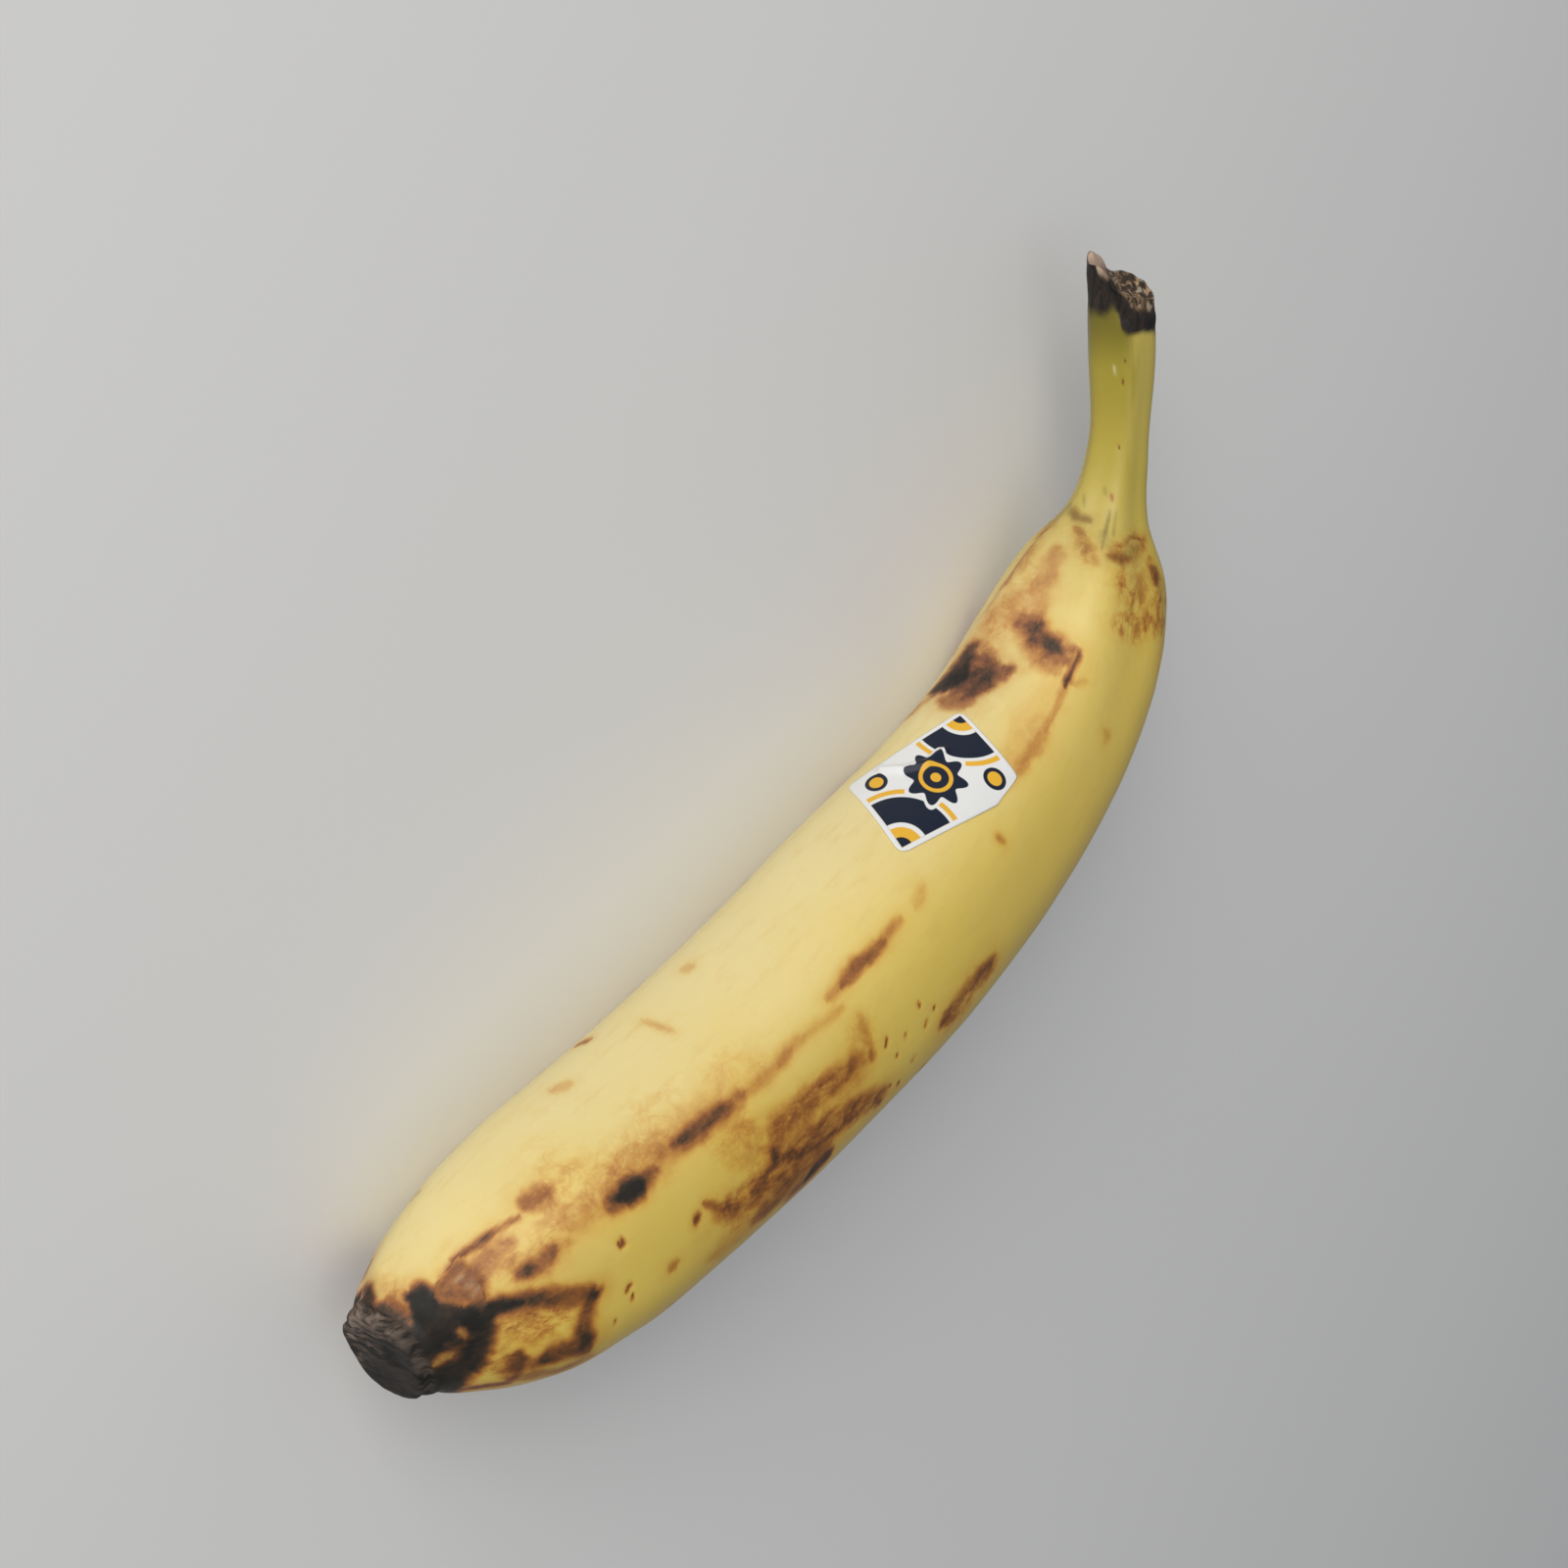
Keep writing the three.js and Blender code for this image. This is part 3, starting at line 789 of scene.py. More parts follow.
cap_edge = flat_along + uneven(straight, [(0.25, 1.5, 14, EVEN)])
cap = np.maximum(cap_face, 1 - ease(*CAP_UNTIL, cap_edge))
bark_edge = smooth(BARK_FROM, np.mod(flat_angle, 360)) + uneven(straight, [(0.4, 1.2, 3, EVEN)])
bark = np.maximum(ease(-BARK_SOFT, BARK_SOFT, flat_along - bark_edge), torn_face)
tear_edge = smooth(TEAR_FROM, np.mod(flat_angle, 360)) + uneven(straight, [(0.8, 1.1, 12, EVEN)])
tear = np.maximum(ease(-TEAR_SOFT, TEAR_SOFT, flat_along - tear_edge), torn_face)
print("corners of the disc, the bark and the torn face:", *(int(x.sum()) for x in (cap, bark, tear)))

# %% Relief of the body
BRUISE_SINKS = 0.14
MOTTLE_SINKS = 0.12
CRACK_SINKS = 0.22
# Ridges and grooves round the blossom end: height, millimetres along, and width
RIM_RINGS = [(0.16, 0.5, 0.4), (-0.3, 0, 0.25), (-0.2, 1.6, 0.7)]

dents = uneven(flat_base, [(0.14, 15, 4, EVEN), (0.05, 5, 5, EVEN)])
pits = ease(-0.2, 0.6, lumps(straight * (0.4, 1, 1), 1.6, 6))
sunken = -BRUISE_SINKS * bruise - MOTTLE_SINKS * mottle * pits - CRACK_SINKS * crack
rim = sum(height * np.exp(-((flat_along - at) / width) ** 2) for height, at, width in RIM_RINGS)
print("dents from", dents.min().round(2), "to", dents.max().round(2), "mm")

# %% Relief of the two ends
CAP_LUMPS = [(0.26, 3.2, 7, EVEN), (0.06, 2.0, 8, (1, 0.8, 2.2)), (0.05, 0.8, 9, EVEN)]
CAP_DROP = 0.25
# The share of the disc's lumps that carries on over the rim
PAST_RIM = 0.5
BARK_LUMPS = [(0.1, 1.2, 10, (0.5, 1.6, 1.6)), (0.18, 1.8, 11, EVEN)]
BARK_RISE = 0.1
TEAR_LUMPS = [(0.22, 1.0, 13, (0.35, 1, 1))]
FOLD_DEPTH = 0.55

cap_relief = cap * uneven(straight, CAP_LUMPS) - CAP_DROP * cap_face * ease(0.9, 1.0, flat_share)
bark_relief = bark * (uneven(straight, BARK_LUMPS) + BARK_RISE) + tear * uneven(straight, TEAR_LUMPS)
fold_line = skin(np.linspace(205, LENGTH, 12), np.linspace(52, 66, 12)) + TO_FRAME
fold = -FOLD_DEPTH * stroke(fold_line, 0.2, 0.7)
print("bark from", bark_relief.min().round(2), "to", bark_relief.max().round(2), "mm")

# %% Move the grid's corners along their normals
# The middle of each end keeps its place, so that its point stays clean
STILL_SHARE = 0.08
relief = np.where(cap_face, cap_relief, (dents + sunken) * (1 - bark) + rim + PAST_RIM * cap_relief)
relief = (relief + bark_relief + fold) * ease(0, STILL_SHARE, flat_share)
peel_points = flat_base + base_normals.reshape(-1, 3) * relief[:, None]
peel_points = np.clip(peel_points, solid_low, solid_high)
print("relief from", round(float(relief.min()), 2), "to", round(float(relief.max()), 2), "mm")

# %% [markdown]
# ## The peel's mesh
# The moved corners become a mesh of four-sided faces, closed by a fan at each end. It also gets a flat
# map, for the time when its finish is baked: the body as a sheet, the two ends as discs, as a peel
# would lie when it is cut open. A sphere map would pinch at both ends.


# %% Close the grid into a mesh
def grid_mesh(name, points, rings, columns):
    """A closed mesh of rings, with one more corner at each end."""
    first, last = points[:columns].mean(0), points[-columns:].mean(0)
    corners = np.concatenate([points, [first, last]]) * MM
    ring, column = np.meshgrid(np.arange(rings - 1), np.arange(columns), indexing="ij")
    after = (column + 1) % columns
    quads = np.stack([
        ring * columns + column, (ring + 1) * columns + column,
        (ring + 1) * columns + after, ring * columns + after,
    ], -1).reshape(-1, 4)
    k = np.arange(columns)
    start = np.stack([k, (k + 1) % columns, 0 * k + len(points)], -1)
    edge = (rings - 1) * columns
    end = np.stack([edge + (k + 1) % columns, edge + k, 0 * k + len(points) + 1], -1)
    mesh = bpy.data.meshes.new(name)
    mesh.from_pydata(corners.tolist(), [], quads.tolist() + start.tolist() + end.tolist())
    mesh.shade_smooth()
    return mesh


peel_mesh = grid_mesh("banana_peel", peel_points, rings, COLUMNS)
peel = bpy.data.objects.new("banana_peel", peel_mesh)
bpy.context.collection.objects.link(peel)
print("peel:", len(peel_mesh.polygons), "faces")

# %% Lay the peel flat
# The body's sheet: its left and lower edge, its width and height. The discs: their middles and radius
UV_LEFT, UV_LOW, UV_WIDE, UV_HIGH = 0.01, 0.02, 0.55, 0.96
UV_CAP = (0.79, 0.25)
UV_TEAR = (0.79, 0.72)
UV_DISC = 0.19


def on_disc(ring, column):
    """Where a corner of an end lies on its disc, from the disc's middle."""
    turn = np.radians(angles[0] + column * 360 / COLUMNS)
    return UV_DISC * ring_share[ring] * np.stack([np.cos(turn), np.sin(turn)], -1)


def on_sheet(ring, column):
    """Where a corner of the body lies on its sheet."""
    up = UV_LOW + UV_HIGH * ring_along[ring] / LENGTH + 0 * column
    return np.stack([UV_LEFT + UV_WIDE * column / COLUMNS, up], -1)


def lay_flat(mesh, rings, columns):
    """The peel's own flat map, for baking and for reuse."""
    layer = mesh.uv_layers.new(name="OFBake")
    places = []
    cap_count, tear_start = len(CAP_SHARES), len(CAP_SHARES) + len(BODY_ALONG)
    column = np.arange(columns)
    for ring in range(rings - 1):
        corners = [(ring, column), (ring + 1, column), (ring + 1, column + 1), (ring, column + 1)]
        if ring < cap_count:
            uvs = [on_disc(*corner) + UV_CAP for corner in corners]
        elif ring >= tear_start - 1:
            uvs = [on_disc(*corner) + UV_TEAR for corner in corners]
        else:
            uvs = [on_sheet(*corner) for corner in corners]
        places.append(np.stack(uvs, 1).reshape(-1, 2))
    for ring, centre in ((0, UV_CAP), (rings - 1, UV_TEAR)):
        here, there = on_disc(ring, column), on_disc(ring, column + 1)
        pair = (here, there) if ring == 0 else (there, here)
        places.append((np.stack([*pair, np.zeros_like(here)], 1) + np.array(centre)).reshape(-1, 2))
    layer.data.foreach_set("uv", np.concatenate(places).ravel())


lay_flat(peel_mesh, rings, COLUMNS)
print("flat map:", peel_mesh.uv_layers[0].name)


# %% Keep the fields on the mesh
def keep_field(mesh, name, values):
    """Keep one number, or one place, for each corner, for the material to read."""
    kind, slot = ("FLOAT", "value") if np.ndim(values) == 1 else ("FLOAT_VECTOR", "vector")
    ends = [values[:COLUMNS].mean(0), values[-COLUMNS:].mean(0)]
    numbers = np.concatenate([values, ends]).astype(np.float32)
    mesh.attributes.new(name, kind, "POINT").data.foreach_set(slot, numbers.ravel())


FIELDS = {
    "bruise": bruise, "grey": grey, "mottle": mottle, "crack": crack, "scar": scar, "bark": bark, "cap": cap,
    "tear": tear, "share": flat_share, "straightened": straight,
}
for name, values in FIELDS.items():
    keep_field(peel_mesh, name, values)
print("fields kept:", ", ".join(FIELDS))

# %% [markdown]
# ## A short way to write materials
# A node tree drawn by hand is hard to read later. A thin wrapper lets sums on sockets be written as
# ordinary sums, and every other node comes from one method, so that a finish reads like a recipe.


# %% Sums on sockets
class Wire:
    """One output of a node. A sum on wires adds a Math node."""

    def __init__(self, recipe, socket):
        self.recipe = recipe
        self.socket = socket

    def math(self, operation, *others):
        return self.recipe.sum_of(operation, self, *others)

    def __add__(self, other):
        return self.math("ADD", other)

    def __sub__(self, other):
        return self.math("SUBTRACT", other)

    def __rsub__(self, other):
        return self.recipe.sum_of("SUBTRACT", other, self)

    def __mul__(self, other):
        return self.math("MULTIPLY", other)

    __radd__ = __add__
    __rmul__ = __mul__

    def step(self, low, high):
        """0 below low, 1 above high, softly between."""
        ends = {"Value": self, "From Min": low, "From Max": high}
        return self.recipe.add("ShaderNodeMapRange", {"interpolation_type": "SMOOTHSTEP"}, ends)


# %% Nodes as a recipe
class Recipe:
    """One material, built round a Principled shader."""

    def __init__(self, name):
        self.material = bpy.data.materials.new(name)
        self.material.use_nodes = True
        self.nodes = self.material.node_tree.nodes
        self.shader = self.nodes["Principled BSDF"]

    def plug(self, value, socket):
        if isinstance(value, Wire):
            self.material.node_tree.links.new(value.socket, socket)
        else:
            socket.default_value = value

    def add(self, kind, settings=None, sockets=None, out=0):
        """Any node: its type, its settings, which are set first, and its sockets' values or links."""
        node = self.nodes.new(kind)
        for name, value in (settings or {}).items():
            if name == "stops":
                self.set_stops(node.color_ramp.elements, value)
            else:
                setattr(node, name, value)
        for name, value in (sockets or {}).items():
            self.plug(value, node.inputs[name])
        return Wire(self, node.outputs[out])

    def set_stops(self, elements, stops):
        while len(elements) < len(stops):
            elements.new(1)
        for element, (position, colour) in zip(elements, stops):
            element.position = position
            element.color = colour

    def sum_of(self, operation, *values):
        return self.add("ShaderNodeMath", {"operation": operation}, dict(enumerate(values)))

    def field(self, name, out="Fac"):
        return self.add("ShaderNodeAttribute", {"attribute_name": name}, out=out)

    def split(self, place, axes):
        return [self.add("ShaderNodeSeparateXYZ", None, {0: place}, axis) for axis in axes]

    def stretched(self, place, factors):
        return self.add("ShaderNodeVectorMath", {"operation": "MULTIPLY"}, {0: place, 1: factors})

    def noise(self, place, scale, detail=2.0, rough=0.5, warp=0.0):
        values = {"Vector": place, "Scale": scale, "Detail": detail, "Roughness": rough, "Distortion": warp}
        return self.add("ShaderNodeTexNoise", None, values)

    def mix(self, factor, first, second, blend="MIX"):
        settings = {"data_type": "RGBA", "blend_type": blend}
        return self.add("ShaderNodeMix", settings, {0: factor, 6: first, 7: second}, out=2)

    def finish(self, **sockets):
        for name, value in sockets.items():
            self.plug(value, self.shader.inputs[name.replace("_", " ")])
        return self.material


# %% Colours as on a paint chart
def paint(code):
    """A colour written #rrggbb, as the shader wants it."""
    values = [int(code[i:i + 2], 16) / 255 for i in (1, 3, 5)]
    return (*[v / 12.92 if v <= 0.04045 else ((v + 0.055) / 1.055) ** 2.4 for v in values], 1.0)


print("paint #808080 is", round(paint("#808080")[0], 3), "in linear light")

# %% [markdown]
# ## What the finish reads
# All noise in the peel follows its fibres, which run along the fruit and bend with it. So the material
# doesn't use places in space. It reads the place on the peel laid out straight, which was kept on the
# mesh in millimetres, and beside it the fields of every kind of mark.


# %% Places, marks and fibres
def read_places(r):
    """Where a spot lies on the straightened peel. Lit grows towards the window's side."""
    whole = r.field("straightened", "Vector")
    along, upward, inward = r.split(whole, "XYZ")
    return SimpleNamespace(whole=whole, along=along, upward=upward, inward=inward, lit=inward - upward * 0.8)


def read_marks(r):
    return SimpleNamespace(**{name: r.field(name) for name in FIELDS if name != "straightened"})


def make_fibres(r, whole):
    """Noise stretched along the fruit, at the scale of the streaks, the grain and the strands."""
    def along_fibres(stretch, *settings):
        return r.noise(r.stretched(whole, stretch), *settings)

    return SimpleNamespace(
        streaks=along_fibres((0.6, 1, 1), 0.42, 4.0, 0.55, 0.5),
        grain=along_fibres((0.6, 1, 1), 2.4, 2.0, 0.5),
        disc=along_fibres((0.7, 0.5, 1.5), 0.45, 4.0, 0.6, 0.7),
        pale_fibre_disc=along_fibres((0.7, 0.45, 1.8), 0.55, 4.0, 0.55, 1.0),
        bark=along_fibres((0.5, 1.2, 1.2), 0.8, 5.0, 0.55, 0.8),
    )


# %% [markdown]
# ## Sound peel
# Ripe peel is a waxy satin yellow. Cream is painted where the window lights it, as painted light, and a
# darker old gold on the outer side, as painted shade, and the peel turns green along the stalk, last of all
# to ripen. Soft spots and freckles break it up. One flat yellow would look like plastic, so eight thin washes
# of colour lie over each other here.

# %% The peel's yellow
RIPE_YELLOW, PAINTED_LIGHT_CREAM, PAINTED_SHADE_GOLD = paint("#dbbe56"), paint("#dccd99"), paint("#bb963f")
SOFT_SPOT, FRECKLE = paint("#cfa95a"), paint("#a9803c")
GREEN_YELLOW, STALK_YELLOW = paint("#ab9a35"), paint("#ccb75c")
STALK_GREEN, DARK_GREEN = paint("#8b8220"), paint("#5f5616")


def ripe_yellow(r, at):
    clouds = r.noise(at.whole, 0.05, 3.0, 0.55)
    # Cream towards the window's side is painted light, mixed with random pale clouds
    yellow = r.mix((at.lit * 0.05 + clouds).step(-0.3, 2.1), RIPE_YELLOW, PAINTED_LIGHT_CREAM)
    # Old gold on the outer side, away from the window, is painted shade
    yellow = r.mix((at.inward * -0.06).step(0.1, 1.1), yellow, PAINTED_SHADE_GOLD)
    soft_spots = r.noise(r.stretched(at.whole, (0.35, 1, 1)), 0.5, 4.0, 0.6)
    yellow = r.mix(soft_spots.step(0.48, 0.85) * 0.35, yellow, SOFT_SPOT)
    yellow = stalk_greens(r, at, yellow)
    freckles = r.noise(at.whole, 1.9, 2.0, 0.6).step(0.66, 0.78)
    return r.mix(freckles * 0.16, yellow, FRECKLE)


def stalk_greens(r, at, yellow):
    """Four washes that start further and further up the stalk, in millimetres along."""
    wander = (r.noise(r.stretched(at.whole, (0.15, 1, 1)), 0.5) - 0.5) * 5
    green_side = (at.inward - at.upward * 0.7 + wander).step(-1.5, 1.5)
    yellow = r.mix(at.along.step(150, 188) * 0.92, yellow, GREEN_YELLOW)
    yellow = r.mix(at.along.step(168, 192) * (1 - green_side) * 0.7, yellow, STALK_YELLOW)
    yellow = r.mix(at.along.step(184, 205) * green_side * 0.6, yellow, STALK_GREEN)
    return r.mix(at.along.step(196, 205) * green_side * 0.7, yellow, DARK_GREEN)


# %% [markdown]
# ## Stains
# Bruising runs from tan through orange-brown and plum to charcoal. Mixing in one brown would look like
# dirt on the peel. A stain works like glaze instead: it multiplies the yellow below it, so one ramp
# carries every depth of it, and noise along the fibres feathers its edge, as real peel does.

# %% What a stain leaves of the peel's colour, from none to the deepest
STAIN = [
    (0.0, (1, 1, 1, 1)), (0.15, (0.94, 0.82, 0.68, 1)), (0.35, (0.74, 0.48, 0.34, 1)),
    (0.55, (0.48, 0.24, 0.18, 1)), (0.72, (0.28, 0.13, 0.13, 1)), (0.87, (0.09, 0.06, 0.08, 1)),
    (1.0, (0.014, 0.013, 0.022, 1)),
]
SHADE_AND_SMOKE_GREY, GLINT_PALE = paint("#6f6a6c"), paint("#e3dcae")
CRACK_DARKNESS = 0.8
SMOKE_AND_SHADE_DEPTH = 0.8
GLINT_COVER = 0.8


def stain_depth(r, at, marks, fibres):
    """How deep the stain is everywhere: bruises, feathered, and the lace of mottled patches."""
    feathering = marks.bruise * (0.25 + marks.bruise) * (1.06 - marks.bruise) * 2.9
    depth = marks.bruise + (fibres.streaks - 0.5 + (fibres.grain - 0.5) * 0.3) * feathering
    ripple = r.noise(at.whole, 0.36, 4.0, 0.55, 0.6) - 0.5
    veins = 1 - ripple.math("ABSOLUTE").step(0.0, 0.14)
    patches = (fibres.streaks + (fibres.grain - 0.5) * 0.25).step(0.3, 0.7)
    lace = marks.mottle * patches * 0.68 + (1 - marks.mottle) * veins * 0.38
    depth = depth + lace * marks.mottle * (1 - depth)
    return depth.math("MAXIMUM", marks.crack * CRACK_DARKNESS)


def stained(r, marks, fibres, colour, depth):
    """The stain glazed over the yellow, then grey smoke and painted shade, then pale flecks painted as
    highlights.
    """
    colour = r.mix(1.0, colour, r.add("ShaderNodeValToRGB", {"stops": STAIN}, {"Fac": depth}), "MULTIPLY")
    # Grey, partly real smoky bruising and partly painted shade
    smoke_and_shade = marks.grey * (0.75 + (fibres.streaks - 0.5) * 1.2)
    colour = r.mix(smoke_and_shade, colour, r.mix(SMOKE_AND_SHADE_DEPTH, colour, SHADE_AND_SMOKE_GREY, "MULTIPLY"))
    # Pale flecks painted as highlights
    return r.mix(marks.scar * GLINT_COVER, colour, GLINT_PALE)


# %% [markdown]
# ## The blossom disc
# Where the flower sat, the fruit ends in a dry disc of dark fibres, swirled and a little lighter at its
# rim and where the window lights it. A dark paint alone would look like a plug, so two fields of
# stretched noise give the fibres: one for the dark tones, one for pale fibres, a few dried pale all over
# and more of them as a painted highlight on the side the window lights.

# %% The blossom disc's colour
DISC_BLACK, DISC_BROWN = paint("#0d0b09"), paint("#27221d")
DRY_FIBRE_AND_HIGHLIGHT, DISC_RIM = paint("#958070"), paint("#6b5d51")


def blossom_disc(r, at, marks, fibres):
    colour = r.mix(fibres.disc.step(0.3, 0.72), DISC_BLACK, DISC_BROWN)
    # Pale fibres: a few everywhere, and a painted highlight that grows towards the window's side
    pale_fibres_and_highlight = fibres.pale_fibre_disc.step(0.42, 0.68) * (0.05 + (at.lit * 0.14).step(-0.2, 1.0) * 0.75)
    colour = r.mix(pale_fibres_and_highlight, colour, DRY_FIBRE_AND_HIGHLIGHT)
    rim = marks.share.step(0.78, 0.98) * marks.cap
    return r.mix(rim * fibres.disc.step(0.4, 0.65) * 0.45, colour, DISC_RIM)


# %% [markdown]
# ## Bark and torn face
# The stalk was torn off the bunch. Its skin dried there to near-black bark, and the face of the tear
# shows pale fibres and knots, with the palest on the horn that stands up from it. Bark and tear each
# have their own field, so the colours meet along the ragged edges that the relief already has.

# %% The torn stalk's colour
BARK_BLACK, BARK_BROWN = paint("#14100e"), paint("#372b23")
TORN_DARK, TORN_BROWN, TORN_PALE = paint("#2c2017"), paint("#6b543b"), paint("#a58b6c")
KNOT, HORN = paint("#cfc0a6"), paint("#c3a993")


def torn_stalk(r, at, marks, fibres):
    bark = r.mix(fibres.bark.step(0.38, 0.75), BARK_BLACK, BARK_BROWN)
    torn_place = r.add("ShaderNodeCombineXYZ", None, {
        "X": at.along * 0.5,
        "Y": (at.inward - at.upward) * 0.9,
        "Z": (at.inward + at.upward) * 0.45,
    })
    torn_fibre = r.noise(torn_place, 0.8, 4.0, 0.55, 1.2)
    knots = r.noise(at.whole, 0.45, 3.0, 0.5, 0.6)
    outer = (at.lit * -0.3).step(-0.6, 1.0)
    torn = r.mix(torn_fibre.step(0.4, 0.66), TORN_DARK, TORN_BROWN)
    torn = r.mix(torn_fibre.step(0.5, 0.7) * outer, torn, TORN_PALE)
    torn = r.mix(knots.step(0.52, 0.7) * (0.1 + outer * 0.55), torn, KNOT)
    torn = r.mix(at.along.step(209.5, 213) * 0.75, torn, HORN)
    return r.mix(marks.tear, bark, torn)


# %% [markdown]
# ## Gloss and pores
# Sound peel has a soft waxy gloss, a bruise has less of it, and bark has none. The pores and the fibres
# are far too fine for the mesh, so they are a bump, which is the right tool for relief that is thinner
# than a hair. The whole finish comes together here.

# %% The peel's finish
GLOSS_ROUGHNESS = 0.44
PORE_DEPTH = 0.00012
PORE_STRENGTH = 0.35


def peel_finish():
    r = Recipe("banana_peel")
    at, marks = read_places(r), read_marks(r)
    fibres = make_fibres(r, at.whole)
    depth = stain_depth(r, at, marks, fibres)
    colour = stained(r, marks, fibres, ripe_yellow(r, at), depth)
    colour = r.mix(marks.cap, colour, blossom_disc(r, at, marks, fibres))
    colour = r.mix(marks.bark, colour, torn_stalk(r, at, marks, fibres))
    ends = marks.bark.math("MAXIMUM", marks.cap)
    roughness = GLOSS_ROUGHNESS + depth * 0.16 + ends * 0.35 + (fibres.grain - 0.5) * 0.08
    height = r.noise(at.whole, 2.6, 3.0, 0.6) * 0.35 + fibres.streaks * (0.3 + depth * 1.2)
    height = height + fibres.disc * marks.cap * 0.7 + fibres.bark * marks.bark * 2.0
    pores = {"Strength": PORE_STRENGTH, "Distance": PORE_DEPTH, "Height": height}
    bump = r.add("ShaderNodeBump", None, pores)
    return r.finish(Base_Color=colour, Roughness=roughness, Normal=bump, Specular_IOR_Level=0.42)


peel_mesh.materials.append(peel_finish())
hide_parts("banana")
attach(peel, "root")
print("peel material nodes:", len(peel_mesh.materials[0].node_tree.nodes))

# %% [markdown]
# ## The label
# A fruit label is thin coated paper, stuck on by a machine, creased where the peel bends under it and
# slack at one corner. A shrinkwrapped plane would follow the peel too. Here it is a small grid laid on
# the finished peel row by row, so that it follows every dent and its crease can be lifted by a formula.

# %% The label's size and place
# Millimetres along the fruit, degrees round it, then millimetres, and degrees of tilt
LABEL = {"along": 111.5, "round": 73, "length": 25.2, "width": 16.8, "corner": 1.5, "tilt": -17.5}
HALF_LENGTH = LABEL["length"] / 2
HALF_WIDTH = LABEL["width"] / 2
LABEL_GAP = 0.06
PAPER = 0.14
LABEL_STEP = 0.3
# One corner is cut back by this much, over this much of the width
CORNER_CUT = 5.5
CORNER_RISE = 2.4


def on_peel(x, y, lift):
    """A place on the flat label, in millimetres from its middle, wrapped on the peel."""
    tilt = math.radians(LABEL["tilt"])
    along = LABEL["along"] + x * math.cos(tilt) - y * math.sin(tilt)
    across = x * math.sin(tilt) + y * math.cos(tilt)
    angle = LABEL["round"] + np.degrees(across / smooth(RADIUS, LABEL["along"]))
    column = np.mod((angle - SEAM) * COLUMNS / 360, COLUMNS)
    ring = np.interp(along, BODY_ALONG, np.arange(len(BODY_ALONG))) + len(CAP_SHARES)
    low_ring, low_column = np.floor(ring).astype(int), np.floor(column).astype(int)
    s, t = (ring - low_ring)[:, None], (column - low_column)[:, None]

    def between(grid):
        after = (low_column + 1) % COLUMNS
        near = grid[low_ring, low_column] * (1 - t) + grid[low_ring, after] * t
        far = grid[low_ring + 1, low_column] * (1 - t) + grid[low_ring + 1, after] * t
        return near * (1 - s) + far * s

    return between(peel_points.reshape(rings, COLUMNS, 3)) + between(base_normals) * np.reshape(lift, (-1, 1))


# %% The flat label's rows
def label_rows():
    """Rows of points over the label, whose ends follow its round corners."""
    rows = round(LABEL["width"] / LABEL_STEP)
    columns = round(LABEL["length"] / LABEL_STEP)
    corner = LABEL["corner"]
    # Rows stand closer near the long edges, so that the corners come out round
    turn = np.linspace(-math.pi / 2, math.pi / 2, rows + 1)
    y = np.linspace(-HALF_WIDTH, HALF_WIDTH, rows + 1) * 0.9 + np.sin(turn) * LABEL["width"] / 20
    over = np.maximum(np.abs(y) - (HALF_WIDTH - corner), 0)
    half = HALF_LENGTH - corner + np.sqrt(np.maximum(corner ** 2 - over ** 2, 0))
    x = np.linspace(-1, 1, columns + 1)[None, :] * half[:, None]
    cut = CORNER_CUT * ease(HALF_WIDTH - CORNER_RISE, HALF_WIDTH, -y)[:, None]
    x = x - cut * np.maximum(x, 0) / HALF_LENGTH
    return x.ravel(), np.repeat(y, columns + 1), rows + 1, columns + 1


# %% The crease, as millimetres that the paper stands up
CREASE = [(-6.5, 6.6), (-3.5, 4.2), (0.5, 3.0), (4.5, 3.4)]
CREASE_HEIGHT = 0.75
CREASE_WIDTH = 0.7
# The underside of the paper is lifted by a little less, so the crease is also a touch thicker
UNDERSIDE_LIFT = 0.9


def raised(x, y):
    line = dense(CREASE, 0.2)
    from_crease = np.sqrt((x[:, None] - line[:, 0]) ** 2 + (y[:, None] - line[:, 1]) ** 2).min(1)
    waves = uneven(np.stack([x, y, 0 * x], -1), [(0.05, 2.5, 20, EVEN)])
    return np.maximum(CREASE_HEIGHT * np.exp(-((from_crease / CREASE_WIDTH) ** 2)) + waves, 0)


# %% The label's mesh
def label_mesh():
    x, y, rows, columns = label_rows()
    count = rows * columns
    lift = raised(x, y)
    under = on_peel(x, y, LABEL_GAP + UNDERSIDE_LIFT * lift)
    over = on_peel(x, y, LABEL_GAP + PAPER + lift)
    k = np.arange(count).reshape(rows, columns)
    quads = np.stack([k[:-1, :-1], k[:-1, 1:], k[1:, 1:], k[1:, :-1]], -1).reshape(-1, 4)
    edge = np.concatenate([k[0, :-1], k[:-1, -1], k[-1, :0:-1], k[:0:-1, 0]])
    after = np.roll(edge, -1)
    walls = np.stack([edge, edge + count, after + count, after], -1)
    faces = quads[:, ::-1].tolist() + (quads + count).tolist() + walls[:, ::-1].tolist()
    mesh = bpy.data.meshes.new("fruit_label")
    mesh.from_pydata((np.concatenate([under, over]) * MM).tolist(), [], faces)
    mesh.shade_smooth()
    places = np.stack([np.tile(x, 2), np.tile(y, 2), np.repeat([0.0, 1.0], count)], -1).astype(np.float32)
    mesh.attributes.new("on_label", "FLOAT_VECTOR", "POINT").data.foreach_set("vector", places.ravel())
    label_map(mesh, places)
    mesh.validate()
    return mesh


